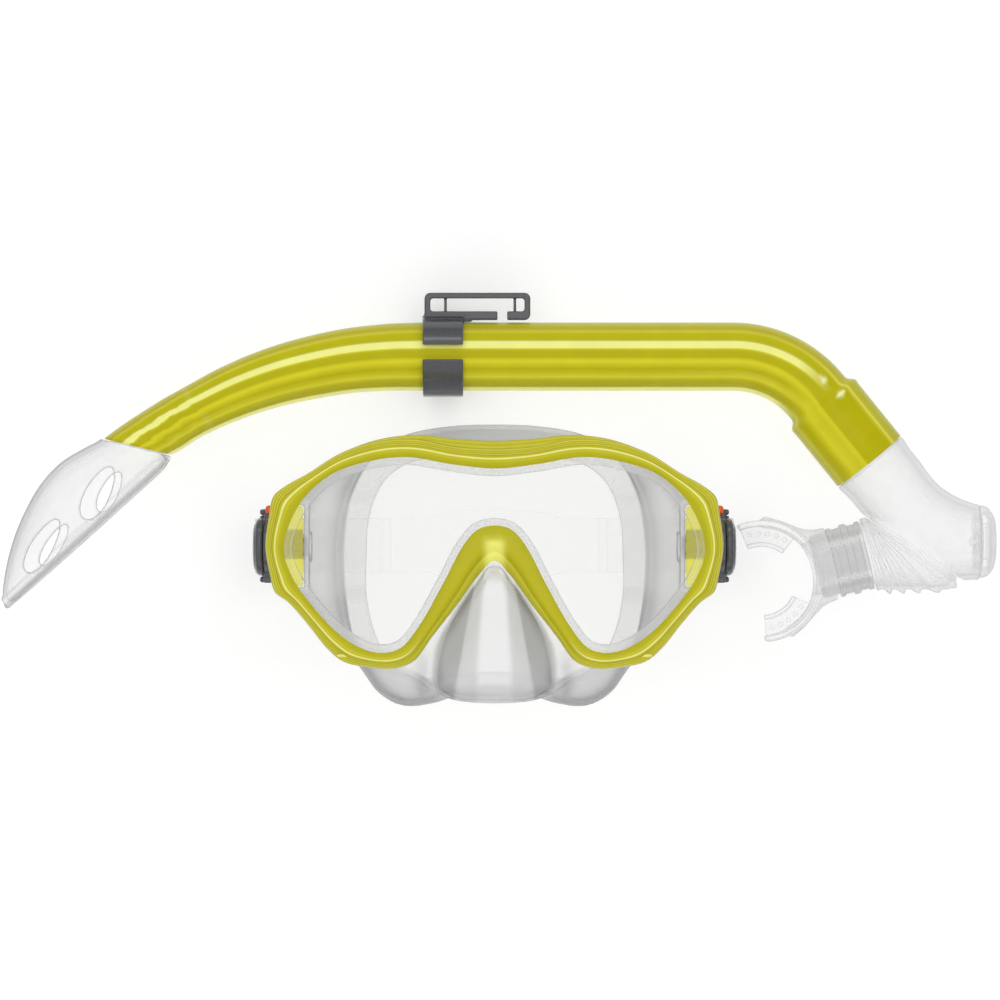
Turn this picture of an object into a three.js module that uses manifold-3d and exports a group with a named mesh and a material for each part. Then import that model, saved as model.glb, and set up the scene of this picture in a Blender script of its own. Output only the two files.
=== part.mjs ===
// Diving mask and snorkel set, laid out on a flat surface.
//
// The mask lies on its face seal with the lens up. The snorkel lies beyond the forehead side.
// Units are millimetres. X runs across the face, +Y to the forehead, +Z the way the lens faces.
// Shapes are drawn about the middle of the mask, and the whole set is centred at the end.

import * as THREE from 'three';
import { mergeVertices } from 'three/addons/utils/BufferGeometryUtils.js';
import { ConvexGeometry } from 'three/addons/geometries/ConvexGeometry.js';
import Module from 'manifold-3d';

const wasm = await Module();
wasm.setup();

// ---------------------------------------------------------------- driving dimensions

const gap = 0.3;                 // clearance between pieces that touch
const far = 200;                 // longer than anything that is cut

const lensFront = 52;            // height of the lens's front face over the table
const lensThickness = 3.2;
const seamHeight = 47.15;        // split between the front bezel and the rear frame
const bezelFront = 56;
const frameBack = 37.8;
const lipOverLens = 2.6;         // how far the gasket laps over the lens
const gasketWall = 1.7;          // gasket outside the lens edge
const siliconeWall = 1.8;
const strapClearance = 4.0;      // arch of the face seal over the strap at the temples

const barrelY = 69;              // line of the straight part of the barrel
const barrelRadius = 12.5;
const barrelWall = 2;
const socketRadius = 14.8;
const snorkelZ = socketRadius;   // the flared socket rests on the table
const bendRadius = 39.5;
const bendStartX = 87;
const bendAngle = 51;

const pinHeight = 29;            // axis of the buckle's swivel pin
const pinY = -0.3;
const pinRadius = 3.15;
const strapWidth = 20;
const strapThickness = 1.5;
const rollerX = 83.6;
const rollerHeight = 16;
const rollerRadius = 2;

const centreX = 2.15;            // middle of the set, from the middle of the mask
const centreY = 17;

// ---------------------------------------------------------------- materials

function material(name, color, roughness, opacity = 1) {
  const made = new THREE.MeshStandardMaterial({ color, roughness, metalness: 0, opacity });
  made.transparent = opacity < 1;
  made.name = name;
  return made;
}

const yellow = material('yellow_plastic', 0xd8d21e, 0.15, 0.9);
const clear = material('clear_plastic', 0xeef0f1, 0.1, 0.4);
const silicone = material('clear_silicone', 0xe6e7e9, 0.3, 0.6);
const dark = material('grey_plastic', 0x5c5e61, 0.35);
const orange = material('orange_plastic', 0xdc5a0a, 0.3);

// ---------------------------------------------------------------- solids and cuts

function toSolid(geometry) {
  const bare = geometry.index ? geometry.toNonIndexed() : geometry.clone();
  bare.deleteAttribute('normal');
  bare.deleteAttribute('uv');
  const merged = mergeVertices(bare, 1e-4);
  const mesh = new wasm.Mesh({
    numProp: 3,
    vertProperties: merged.attributes.position.array,
    triVerts: new Uint32Array(merged.index.array),
  });
  return new wasm.Manifold(mesh);
}

function toGeometry(solid) {
  const mesh = solid.getMesh();
  const geometry = new THREE.BufferGeometry();
  geometry.setAttribute('position', new THREE.BufferAttribute(mesh.vertProperties, 3));
  geometry.setIndex(new THREE.BufferAttribute(mesh.triVerts, 1));
  return geometry;
}

function join(...solids) {
  return solids.reduce((whole, next) => whole.add(next));
}

function cut(solid, ...tools) {
  return tools.reduce((whole, tool) => whole.subtract(tool), solid);
}

// A copy on the other side of the X = 0 plane, with its faces turned the right way out.
function mirrored(geometry) {
  const copy = geometry.index ? geometry.toNonIndexed() : geometry.clone();
  copy.deleteAttribute('normal');
  copy.deleteAttribute('uv');
  copy.scale(-1, 1, 1);
  const positions = copy.attributes.position;
  for (let i = 0; i < positions.count; i += 3) {
    const second = new THREE.Vector3().fromBufferAttribute(positions, i + 1);
    const third = new THREE.Vector3().fromBufferAttribute(positions, i + 2);
    positions.setXYZ(i + 1, third.x, third.y, third.z);
    positions.setXYZ(i + 2, second.x, second.y, second.z);
  }
  return mergeVertices(copy, 1e-4);
}

function box(low, high) {
  const size = low.map((value, i) => high[i] - value);
  const middle = low.map((value, i) => (high[i] + value) / 2);
  return toSolid(new THREE.BoxGeometry(...size).translate(...middle));
}

// A prism of a flat outline, standing along Z.
function prism(outline, low, high) {
  const shape = new THREE.Shape(outline);
  const geometry = new THREE.ExtrudeGeometry(shape, { depth: high - low, bevelEnabled: false });
  return toSolid(geometry.translate(0, 0, low));
}

// A prism along X of an outline drawn in Y and Z.
function sidePrism(outline, from, to) {
  const shape = new THREE.Shape(outline);
  const geometry = new THREE.ExtrudeGeometry(shape, { depth: to - from, bevelEnabled: false });
  const turn = new THREE.Matrix4().makeBasis(
    new THREE.Vector3(0, 1, 0),
    new THREE.Vector3(0, 0, 1),
    new THREE.Vector3(1, 0, 0),
  );
  return toSolid(geometry.applyMatrix4(turn).translate(from, 0, 0));
}

// A geometry built along +Y, turned to run along a direction from a start point.
function aimed(geometry, start, direction) {
  const up = new THREE.Vector3(0, 1, 0);
  const aim = new THREE.Vector3(...direction).normalize();
  const turn = new THREE.Quaternion().setFromUnitVectors(up, aim);
  geometry.applyQuaternion(turn);
  return geometry.translate(...start);
}

function rod(start, direction, length, radius, sides = 24) {
  const geometry = new THREE.CylinderGeometry(radius, radius, length, sides);
  geometry.translate(0, length / 2, 0);
  return toSolid(aimed(geometry, start, direction));
}

// A turned piece: profile points are [radius, distance along the direction].
function turned(profile, start, direction, sides = 24) {
  const points = profile.map(([radius, along]) => new THREE.Vector2(radius, along));
  points.push(points[0].clone());
  const solid = toSolid(aimed(new THREE.LatheGeometry(points, sides), start, direction));
  return solid.volume() < 0 ? toSolid(flipped(toGeometry(solid))) : solid;
}

function flipped(geometry) {
  const index = geometry.index.array;
  for (let i = 0; i < index.length; i += 3) {
    [index[i + 1], index[i + 2]] = [index[i + 2], index[i + 1]];
  }
  return geometry;
}

// A solid skinned over a row of rings that all have the same number of points.
function loft(rings) {
  const sides = rings[0].length;
  const points = rings.flat();
  const index = [];
  for (let r = 0; r + 1 < rings.length; r += 1) {
    for (let i = 0; i < sides; i += 1) {
      const next = (i + 1) % sides;
      const a = r * sides + i;
      const b = r * sides + next;
      index.push(a, b, a + sides, b, b + sides, a + sides);
    }
  }
  const ends = [[0, false], [rings.length - 1, true]];
  for (const [ring, last] of ends) {
    const middle = new THREE.Vector3();
    rings[ring].forEach((point) => middle.addScaledVector(point, 1 / sides));
    const hub = points.push(middle) - 1;
    for (let i = 0; i < sides; i += 1) {
      const a = ring * sides + i;
      const b = ring * sides + (i + 1) % sides;
      index.push(...(last ? [hub, a, b] : [hub, b, a]));
    }
  }
  const geometry = new THREE.BufferGeometry().setFromPoints(points);
  geometry.setIndex(index);
  let volume = 0;
  for (let i = 0; i < index.length; i += 3) {
    const cross = points[index[i + 1]].clone().cross(points[index[i + 2]]);
    volume += points[index[i]].dot(cross);
  }
  return toSolid(volume < 0 ? flipped(geometry) : geometry);
}

// An oval ring that stands on the snorkel's plane. tilt is the way its in-plane half points.
function ovalRing({ x, y, tilt, half, depth }, sides = 16) {
  const angle = THREE.MathUtils.degToRad(tilt);
  const ring = [];
  for (let i = 0; i < sides; i += 1) {
    const turn = (i / sides) * 2 * Math.PI;
    const along = half * Math.cos(turn);
    const up = depth * Math.sin(turn);
    ring.push(new THREE.Vector3(
      x + along * Math.cos(angle),
      y + along * Math.sin(angle),
      snorkelZ + up,
    ));
  }
  return ring;
}

function tube(stations, sides = 16) {
  return loft(stations.map((station) => ovalRing(station, sides)));
}

// ---------------------------------------------------------------- outlines of the mask

// Half outlines run from the top of the mask round its right side to the bottom.
const outlineSteps = 48;

function wholeOutline(half) {
  const right = half.map(([x, y]) => new THREE.Vector3(x, y, 0));
  const left = half.slice(1, -1).reverse().map(([x, y]) => new THREE.Vector3(-x, y, 0));
  const curve = new THREE.CatmullRomCurve3([...right, ...left], true, 'centripetal');
  const spaced = curve.getSpacedPoints(outlineSteps).slice(0, -1);
  return spaced.map((point) => new THREE.Vector2(point.x, point.y));
}

// The outline moved outwards by a distance, or inwards by a negative one.
function grown(outline, distance) {
  const count = outline.length;
  return outline.map((point, i) => {
    const before = outline[(i + count - 1) % count];
    const after = outline[(i + 1) % count];
    const along = after.clone().sub(before).normalize();
    return new THREE.Vector2(point.x - along.y * distance, point.y + along.x * distance);
  });
}

const lowerFrame = [
  [55, 33.6], [67, 26.2], [74.5, 22], [79.3, 18], [80.8, 11], [82.1, 0], [80.4, -10.5],
  [78.8, -16.3], [74, -20], [67.5, -27.3], [60, -36.6], [54.2, -41.3], [46, -43.2],
  [36.1, -43.8], [29, -41.2], [22, -32], [12.5, -19.8], [5.5, -10.2], [0, -5.1],
];
const frameOutline = wholeOutline([[0, 38], [14, 38.7], [28, 40.1], [42, 38.4], ...lowerFrame]);
const bezelOutline = wholeOutline([[0, 35.2], [14, 36], [28, 38.6], [42, 37.8], ...lowerFrame]);
const windowOutline = wholeOutline([
  [0, 27.9], [14.3, 29.3], [32, 32], [46, 30.2], [58, 26], [67, 18.6], [73, 9], [75.4, -1],
  [72.6, -10.4], [65, -21.4], [55.5, -31.3], [47, -36.6], [39.7, -38], [33.5, -36.2],
  [27, -28.4], [18, -12.5], [11.4, 0], [6.2, 6], [0, 7.6],
]);
const skirtFrontOutline = wholeOutline([
  [0, 34.5], [16, 35.6], [33, 37.4], [46, 34.8], [58, 29], [68, 21.5], [75.5, 12], [78, 0],
  [75.5, -11], [67, -23.5], [57, -35.5], [47, -41], [38, -43.5], [28, -47.5], [19, -54],
  [9, -56.3], [0, -56.8],
]);
const skirtRearOutline = wholeOutline([
  [0, 44.6], [20, 43.5], [34, 40.2], [47, 33], [56, 20], [60, 2], [58.5, -18], [54.5, -34],
  [48.7, -45], [43, -53.3], [34, -58], [22, -57.4], [12, -54.5], [0, -53],
]);
const sealOutline = wholeOutline([
  [0, 33], [20, 32.5], [33, 29.5], [41, 23], [46, 10], [47, -4], [46.8, -20], [44, -32],
  [38, -43], [28, -48.5], [14, -47.5], [0, -46.5],
]);

// ---------------------------------------------------------------- mask

function makeLens() {
  return prism(grown(windowOutline, -0.4), lensFront - lensThickness, lensFront);
}

function makeFrontBezel() {
  const flange = lensFront + 1.9;
  return cut(
    prism(bezelOutline, seamHeight + gap, bezelFront),
    prism(grown(windowOutline, gasketWall + gap), 0, flange),
    prism(windowOutline, 0, far),
  );
}

// The lug on one side, +1 or -1: a shelf, an outer wall and a boss for the swivel pin.
const lug = { inner: 69.2, outer: 79.6, halfWidth: 14.5, bottom: 21, shelf: 2.6, wall: 2.4 };

function makeLug(side) {
  const span = (from, to) => (side > 0 ? [from, to] : [-to, -from]);
  const [shelfLow, shelfHigh] = span(lug.inner, lug.outer);
  const [wallLow, wallHigh] = span(lug.outer - lug.wall, lug.outer);
  const top = frameBack + 0.5;
  const shelf = box(
    [shelfLow, -lug.halfWidth, frameBack - lug.shelf],
    [shelfHigh, lug.halfWidth, top],
  );
  const wall = box(
    [wallLow, -lug.halfWidth + 2, lug.bottom],
    [wallHigh, lug.halfWidth - 3.5, top],
  );
  const bossRadius = 5.2;
  const boss = rod([shelfLow, pinY, pinHeight], [1, 0, 0], shelfHigh - shelfLow, bossRadius);
  const web = box([shelfLow, pinY - 1.5, pinHeight], [shelfHigh, pinY + 1.5, top]);
  return join(shelf, wall, boss, web);
}

function makeRearFrame() {
  const ring = cut(
    prism(frameOutline, frameBack, seamHeight),
    prism(grown(windowOutline, gasketWall + gap), 0, far),
  );
  const pinBore = rod([-far / 2, pinY, pinHeight], [1, 0, 0], far, pinRadius + gap);
  return cut(join(ring, makeLug(1), makeLug(-1)), pinBore);
}

// The space that a lug and the head of its pin need, with room to spare all round.
function lugSpace(room) {
  const half = lug.halfWidth + room;
  const top = frameBack + 0.5 + room;
  const inner = 67.9 + gap - room;
  return join(
    box([inner, -half, -1], [far, half, top]),
    box([-far, -half, -1], [-inner, half, top]),
  );
}

// The nose pocket is a faceted wedge: wide and low at its root, with a narrow front ridge.
function nosePocket(inset) {
  const corners = [];
  const add = (x, y, z) => {
    const halfWidth = Math.max(0.4, x - inset);
    corners.push(new THREE.Vector3(halfWidth, y, z - inset));
    corners.push(new THREE.Vector3(-halfWidth, y, z - inset));
  };
  const top = -7 - inset * 1.4;
  const bottom = inset * 1.05;
  add(1.5, top, 35.4);
  add(8.5, top - 10, 35.4);
  add(16, top - 20.5, 35.4);
  add(21, top - 30, 35.4);
  add(21.8, -51 + bottom, 35.4);
  add(14, -55.5 + bottom, 35.4);
  add(3, top - 1, 45);
  add(17.5, -49 + bottom, 46);
  add(13.6, -53.5 + bottom, 47);
  add(4.4, top - 5, 51.5);
  add(5.6, -30, 56.6);
  add(6.4, -50 + bottom, 58);
  add(6.4, -54.4 + bottom, 54);
  return toSolid(new ConvexGeometry(corners));
}

// The wall of the skirt at a height, as a ring of points. It arches over the strap.
function skirtRing(front, rear, height, share) {
  return front.map((point, i) => {
    const x = THREE.MathUtils.lerp(rear[i].x, point.x, share);
    const y = THREE.MathUtils.lerp(rear[i].y, point.y, share);
    const arch = 1 - THREE.MathUtils.smoothstep(Math.abs(y), 13.5, 22);
    return new THREE.Vector3(x, y, height + strapClearance * arch * (1 - share));
  });
}

function skirtCup(inset, low, high) {
  const front = grown(skirtFrontOutline, -inset);
  const rear = grown(skirtRearOutline, -inset);
  const seal = skirtRing(sealOutline, sealOutline, low, 0);
  const shares = [0, 0.12, 0.45, 0.8, 1];
  const heights = [0, 0.2, 0.5, 0.8, 1];
  return loft([seal, ...shares.map((share, i) => {
    const height = THREE.MathUtils.lerp(low, high, heights[i]);
    return skirtRing(front, rear, height, share);
  })]);
}

function makeSkirt() {
  const plateTop = frameBack - gap;
  const sealThickness = 2.2;
  const mouth = loft([-1, sealThickness + 0.3].map((height) => (
    skirtRing(sealOutline, sealOutline, height, 0)
  )));
  const outer = join(
    skirtCup(0, 0, plateTop),
    nosePocket(0),
    prism(grown(windowOutline, gasketWall), plateTop - 2, lensFront + 1.6),
  );
  const hollow = join(
    skirtCup(siliconeWall, sealThickness, plateTop - siliconeWall),
    mouth,
    nosePocket(siliconeWall),
    prism(grown(windowOutline, -lipOverLens), plateTop - 3, far),
  );
  return cut(
    outer,
    lugSpace(gap),
    cut(hollow, lugSpace(gap + siliconeWall)),
    prism(grown(windowOutline, -0.1), lensFront - lensThickness - gap, lensFront + gap),
  );
}

// ---------------------------------------------------------------- strap and buckles

// One side of the strap's path in X and Z: out along the table, round the roller and back.
function strapPath() {
  const path = new THREE.Path();
  const half = strapThickness / 2;
  const wrap = rollerRadius + gap + half;
  const bend = 6;
  path.moveTo(38, half);
  path.lineTo(rollerX + wrap - bend, half);
  path.absarc(rollerX + wrap - bend, half + bend, bend, -Math.PI / 2, 0, false);
  path.lineTo(rollerX + wrap, rollerHeight);
  path.absarc(rollerX, rollerHeight, wrap, 0, Math.PI, false);
  const upper = half + strapThickness + gap;
  const inner = 5;
  path.lineTo(rollerX - wrap, upper + inner);
  path.absarc(rollerX - wrap - inner, upper + inner, inner, 0, -Math.PI / 2, true);
  path.lineTo(34, upper);
  path.lineTo(28, half);
  path.lineTo(24, half);
  return path.curves.flatMap((curve) => curve.getPoints(curve.type === 'LineCurve' ? 1 : 5));
}

// The strap's side view: the path given its thickness.
function ribbon(path) {
  const clean = path.filter((point, i) => i === 0 || point.distanceTo(path[i - 1]) > 0.01);
  const edge = (side) => clean.map((point, i) => {
    const before = clean[Math.max(0, i - 1)];
    const after = clean[Math.min(clean.length - 1, i + 1)];
    const along = after.clone().sub(before).normalize();
    const reach = side * strapThickness / 2;
    return new THREE.Vector2(point.x - along.y * reach, point.y + along.x * reach);
  });
  return [...edge(1), ...edge(-1).reverse()];
}

function makeStrap() {
  const shape = new THREE.Shape(ribbon(strapPath()));
  const geometry = new THREE.ExtrudeGeometry(shape, { depth: strapWidth, bevelEnabled: false });
  const turn = new THREE.Matrix4().makeBasis(
    new THREE.Vector3(1, 0, 0),
    new THREE.Vector3(0, 0, 1),
    new THREE.Vector3(0, -1, 0),
  );
  const right = geometry.applyMatrix4(turn).translate(0, strapWidth / 2, 0);
  const padEdge = new THREE.CatmullRomCurve3([
    new THREE.Vector3(-24.5, 10, 0),
    new THREE.Vector3(-12, 13, 0),
    new THREE.Vector3(0, 14, 0),
    new THREE.Vector3(12, 13, 0),
    new THREE.Vector3(24.5, 10, 0),
  ]).getPoints(12);
  const upper = padEdge.map((point) => new THREE.Vector2(point.x, point.y));
  const lower = padEdge.map((point) => new THREE.Vector2(-point.x, -point.y));
  const pad = prism([...upper, ...lower], 0, strapThickness);
  return join(toSolid(right), toSolid(mirrored(right)), pad);
}

// Buckle pieces are drawn at +X, and copied to the other side at the end.
const buckle = { inner: 79.9, outer: 83.6, halfWidth: 13.3, plateBottom: 21.2, cheekTip: 12 };

function buckleOutline() {
  const crown = 9.2;
  const points = [];
  for (let turn = 45; turn <= 135; turn += 15) {
    const angle = THREE.MathUtils.degToRad(turn);
    const y = pinY + crown * Math.cos(angle);
    points.push(new THREE.Vector2(y, pinHeight - 1 + crown * Math.sin(angle) + 0.4));
  }
  points.push(new THREE.Vector2(-buckle.halfWidth, 31));
  points.push(new THREE.Vector2(-buckle.halfWidth, buckle.plateBottom));
  points.push(new THREE.Vector2(buckle.halfWidth, buckle.plateBottom));
  points.push(new THREE.Vector2(buckle.halfWidth, 31));
  return points;
}

const button = { inner: 80.2, outer: 83.3, from: 11.4, to: 15, bottom: 24.4, top: 30.6 };

function makeBuckleBody() {
  const plate = sidePrism(buckleOutline(), buckle.inner, buckle.outer);
  const cheeks = [-1, 1].map((side) => {
    const edges = [side * buckle.halfWidth, side * (buckle.halfWidth - 2.1)].sort((a, b) => a - b);
    return box(
      [buckle.inner, edges[0], buckle.cheekTip],
      [87.4, edges[1], buckle.plateBottom + 2],
    );
  });
  const trunnionBore = 1.5;
  const notch = box(
    [buckle.inner - 1, button.from - 2, button.bottom - gap],
    [buckle.outer + 1, far, button.top + gap],
  );
  return cut(
    join(plate, ...cheeks),
    rod([0, pinY, pinHeight], [1, 0, 0], far, pinRadius + gap),
    rod([rollerX, -far / 2, rollerHeight], [0, 1, 0], far, trunnionBore, 16),
    notch,
  );
}

// The cover is a shallow dome with a hollow back that clears the head of the pin.
function makeBuckleCap() {
  const start = buckle.outer + gap;
  const rings = [[0, 1], [1.6, 1], [2.9, 0.86], [3.7, 0.62]].map(([out, scale]) => {
    const ring = [];
    for (let i = 0; i < 24; i += 1) {
      const turn = (i / 24) * 2 * Math.PI;
      const squareness = 0.8;
      const reach = (value) => Math.sign(value) * Math.abs(value) ** squareness;
      ring.push(new THREE.Vector3(
        start + out,
        pinY + 10.4 * scale * reach(Math.cos(turn)),
        28.2 + 8.2 * scale * reach(Math.sin(turn)),
      ));
    }
    return ring;
  });
  return cut(loft(rings), rod([start - 1, pinY, pinHeight], [1, 0, 0], 3.2, 5.4));
}

function makeSwivelPin() {
  const shaft = rod([68.3, pinY, pinHeight], [1, 0, 0], 16.8, pinRadius);
  const head = rod([buckle.outer + gap, pinY, pinHeight], [1, 0, 0], 1.3, 4.8);
  return join(shaft, head);
}

function makeStrapRoller() {
  const trunnion = 1.2;
  const half = buckle.halfWidth - 2.1 - gap;
  return join(
    rod([rollerX, -half, rollerHeight], [0, 1, 0], 2 * half, rollerRadius, 16),
    rod([rollerX, -half - 2, rollerHeight], [0, 1, 0], 2 * half + 4, trunnion, 16),
  );
}

function makeReleaseButton() {
  return box(
    [button.inner, button.from, button.bottom],
    [button.outer, button.to, button.top],
  );
}

// ---------------------------------------------------------------- barrel

const leftEnd = { x: -130.2, y: 36.25, tilt: 166.4, half: 12.55, depth: 10.6, skew: 1.4 };
const leftBend = [
  { ...leftEnd },
  { x: -119.5, y: 43.2, tilt: 143, half: 10.3, depth: 10.7, skew: 1.07 },
  { x: -110.3, y: 48.7, tilt: 121, half: 9.5, depth: 10.9, skew: 1 },
  { x: -95.8, y: 55.8, tilt: 114, half: 10.2, depth: 11.2, skew: 1 },
  { x: -81.3, y: 61.2, tilt: 108, half: 10.9, depth: 11.6, skew: 1 },
  { x: -66.8, y: 65, tilt: 102, half: 11.5, depth: 12, skew: 1 },
  { x: -52.4, y: 67.6, tilt: 97.5, half: 11.9, depth: 12.3, skew: 1 },
  { x: -37.9, y: 68.8, tilt: 92.5, half: 12.3, depth: 12.5, skew: 1 },
  { x: -27, y: barrelY, tilt: 90, half: barrelRadius, depth: barrelRadius, skew: 1 },
];

function round(x, y, tilt, radius) {
  return { x, y, tilt, half: radius, depth: radius, skew: 1 };
}

// Stations of the right-hand bend, from the straight to the start of the socket.
function rightBend() {
  const stations = [];
  const steps = 5;
  for (let i = 0; i <= steps; i += 1) {
    const degrees = bendAngle * (i / steps);
    const angle = THREE.MathUtils.degToRad(degrees);
    const x = bendStartX + bendRadius * Math.sin(angle);
    const y = barrelY - bendRadius * (1 - Math.cos(angle));
    stations.push(round(x, y, 90 - degrees, barrelRadius));
  }
  return stations;
}

const bend = rightBend();
const bendEnd = bend[bend.length - 1];
const socketTilt = bendEnd.tilt;
const socketAim = [
  Math.cos(THREE.MathUtils.degToRad(bendAngle)),
  -Math.sin(THREE.MathUtils.degToRad(bendAngle)),
];
const shoulderLength = 4;
const socketLength = 30.4;
const spigotLength = 21;

function alongSocket(distance, radius) {
  const x = bendEnd.x + socketAim[0] * distance;
  const y = bendEnd.y + socketAim[1] * distance;
  return round(x, y, socketTilt, radius);
}

// A station moved along the way it faces, so that a cutting tube runs past an end.
function pushed(station, dx, dy) {
  return { ...station, x: station.x + dx, y: station.y + dy };
}

function thinned(station, wall) {
  const half = station.half - wall * station.skew;
  return { ...station, half, depth: station.depth - wall };
}

function makeBarrel() {
  const outerStations = [
    ...leftBend,
    ...bend,
    alongSocket(shoulderLength * 0.45, barrelRadius + 0.4),
    alongSocket(shoulderLength, socketRadius),
    alongSocket(socketLength, socketRadius),
  ];
  const inner = [...leftBend, ...bend].map((station) => thinned(station, barrelWall));
  const bore = tube([
    pushed(inner[0], -0.85, -0.53),
    ...inner.slice(1),
    alongSocket(shoulderLength + 4, barrelRadius - barrelWall),
  ]);
  const seatRadius = socketRadius - 1.9;
  const seat = tube([
    alongSocket(socketLength - spigotLength - gap, seatRadius),
    alongSocket(socketLength + 1, seatRadius),
  ]);
  return cut(tube(outerStations), bore, seat);
}

// ---------------------------------------------------------------- splash guard

// The guard's slanted mouth runs from beside the barrel's end to the tip.
const mouthStart = { x: -121, y: 28.6 };
const mouthAim = { x: -0.743, y: -0.67 };
const mouthAngle = THREE.MathUtils.radToDeg(Math.atan2(mouthAim.y, mouthAim.x));
const mouthUp = { x: mouthAim.y, y: -mouthAim.x };

// Stations along the mouth: distance, height of the back over the mouth, half depth.
const hood = [
  [16, 24.6, 11.4], [27, 26.3, 12.2], [38, 25.2, 12.4], [48, 21.9, 11.6], [57, 16.9, 9.6],
  [66, 10.6, 6.6], [72, 5.6, 3.8], [75.2, 2.4, 1.7],
];

function hoodStation([along, height, depth], wall) {
  const sink = 0.3;
  const lift = height * (0.5 - sink / 2);
  return {
    x: mouthStart.x + mouthAim.x * along + mouthUp.x * lift,
    y: mouthStart.y + mouthAim.y * along + mouthUp.y * lift,
    tilt: mouthAngle - 90,
    half: height * (0.5 + sink / 2) - wall,
    depth: depth - wall,
    skew: 1,
  };
}

function ovalCutter(x, y, length, width, turn) {
  const ring = (z) => {
    const points = [];
    const angle = THREE.MathUtils.degToRad(turn);
    for (let i = 0; i < 16; i += 1) {
      const step = (i / 16) * 2 * Math.PI;
      const along = (length / 2) * Math.cos(step);
      const across = (width / 2) * Math.sin(step);
      points.push(new THREE.Vector3(
        x + along * Math.cos(angle) - across * Math.sin(angle),
        y + along * Math.sin(angle) + across * Math.cos(angle),
        z,
      ));
    }
    return points;
  };
  return loft([ring(-1), ring(2 * snorkelZ + 5)]);
}

function makeSplashGuard() {
  const wall = 1.6;
  const rim = pushed(leftEnd, -0.32, -0.3);
  const flareTilt = 150;
  const flare = { x: -134.6, y: 29.6, tilt: flareTilt, half: 14.2, depth: 11, skew: 1.1 };
  const shell = tube([rim, flare, ...hood.map((row) => hoodStation(row, 0))]);
  const cavity = tube([
    pushed(thinned(rim, barrelWall + gap + wall), 1, 0.8),
    thinned(flare, wall),
    ...hood.slice(0, -1).map((row) => hoodStation(row, wall)),
  ]);
  const fit = barrelWall + gap;
  const spigotStations = [pushed(thinned(rim, fit), -0.4, -0.4)];
  const boreStations = [pushed(thinned(rim, fit + wall), -1.5, -1.2)];
  for (const station of leftBend.slice(1, 3)) {
    spigotStations.push(thinned(station, fit));
    boreStations.push(thinned(station, fit + wall));
  }
  const last = { x: -104.8, y: 51.6, tilt: 117, half: 9.8, depth: 11, skew: 1 };
  spigotStations.push(thinned(last, fit));
  boreStations.push(pushed(thinned(last, fit + wall), 0.87, 0.5));
  const below = new THREE.BoxGeometry(110, 60, far);
  below.translate(55 - 0.5, 30, 0);
  below.rotateZ(THREE.MathUtils.degToRad(mouthAngle));
  below.translate(mouthStart.x, mouthStart.y, 0);
  return cut(
    join(shell, tube(spigotStations)),
    cavity,
    tube(boreStations),
    toSolid(below),
    ovalCutter(-144, 19.2, 20.7, 8.5, 63),
    ovalCutter(-164.3, 0, 22, 7.6, 58.5),
  );
}

// ---------------------------------------------------------------- keeper clip

const keeper = {
  left: -26.1, right: -11.4, outer: 14.7, inner: 12.8,
  loopLeft: -25.7, loopRight: 13.2, loopLow: 82.2, loopHigh: 92.4,
  slotLow: 85.5, slotHigh: 90.2, halfDepth: 2.6,
};

function roundedRectangle(left, low, right, high, radius) {
  const shape = new THREE.Shape();
  shape.moveTo(left + radius, low);
  shape.lineTo(right - radius, low);
  shape.absarc(right - radius, low + radius, radius, -Math.PI / 2, 0, false);
  shape.absarc(right - radius, high - radius, radius, 0, Math.PI / 2, false);
  shape.absarc(left + radius, high - radius, radius, Math.PI / 2, Math.PI, false);
  shape.absarc(left + radius, low + radius, radius, Math.PI, 1.5 * Math.PI, false);
  return shape.getPoints(4).slice(0, -1);
}

function makeKeeperClip() {
  const low = snorkelZ - keeper.halfDepth;
  const high = snorkelZ + keeper.halfDepth;
  const width = keeper.right - keeper.left;
  const band = rod([keeper.left, barrelY, snorkelZ], [1, 0, 0], width, keeper.outer, 40);
  const neck = box([keeper.left, 79, low], [keeper.right + 3, keeper.loopLow + 1.5, high]);
  const loop = prism(
    roundedRectangle(keeper.loopLeft, keeper.loopLow, keeper.loopRight, keeper.loopHigh, 2.6),
    low,
    high,
  );
  const slot = box(
    [keeper.loopLeft + 2.3, keeper.slotLow, 0],
    [keeper.loopRight - 2.3, keeper.slotHigh, far],
  );
  const entry = box([1.1, 80, 0], [4.6, keeper.slotLow + 1, far]);
  const posts = [-17.9, 7.4].map((x) => box(
    [x - 0.5, keeper.slotLow - 0.5, snorkelZ - 0.8],
    [x + 0.5, keeper.slotHigh + 0.5, snorkelZ + 0.8],
  ));
  const boreStart = [keeper.left - 1, barrelY, snorkelZ];
  const bore = rod(boreStart, [1, 0, 0], 60, keeper.inner, 40);
  const mouth = box([-far, barrelY - 1.3, snorkelZ], [far, barrelY + 4, far]);
  return join(cut(join(band, neck, loop), slot, entry, bore, mouth), ...posts);
}

// ---------------------------------------------------------------- lower chamber

const purgeY = 1.5;
const purgeX = 176.6;            // face that the purge cover sits on
const purgeBore = 10.4;

const chamberPath = [
  { x: 143.6, y: 22.6, tilt: 40, half: 13.9, depth: 14.1, skew: 1 },
  { x: 151.6, y: 12.4, tilt: 46, half: 13.8, depth: 14.1, skew: 1 },
  { x: 160, y: 6, tilt: 58, half: 14.1, depth: 14.3, skew: 1 },
  { x: 168.6, y: 2.2, tilt: 76, half: 14.2, depth: 14.3, skew: 1 },
  { x: purgeX, y: purgeY, tilt: 90, half: 12.6, depth: 12.6, skew: 1 },
];

// The seam where the pleated neck leaves the chamber.
const seam = { x: 152.6, y: -0.4, tilt: -33, half: 19.9, depth: 13.4, skew: 1 };
const seamOut = { x: -0.545, y: -0.839 };

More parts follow.
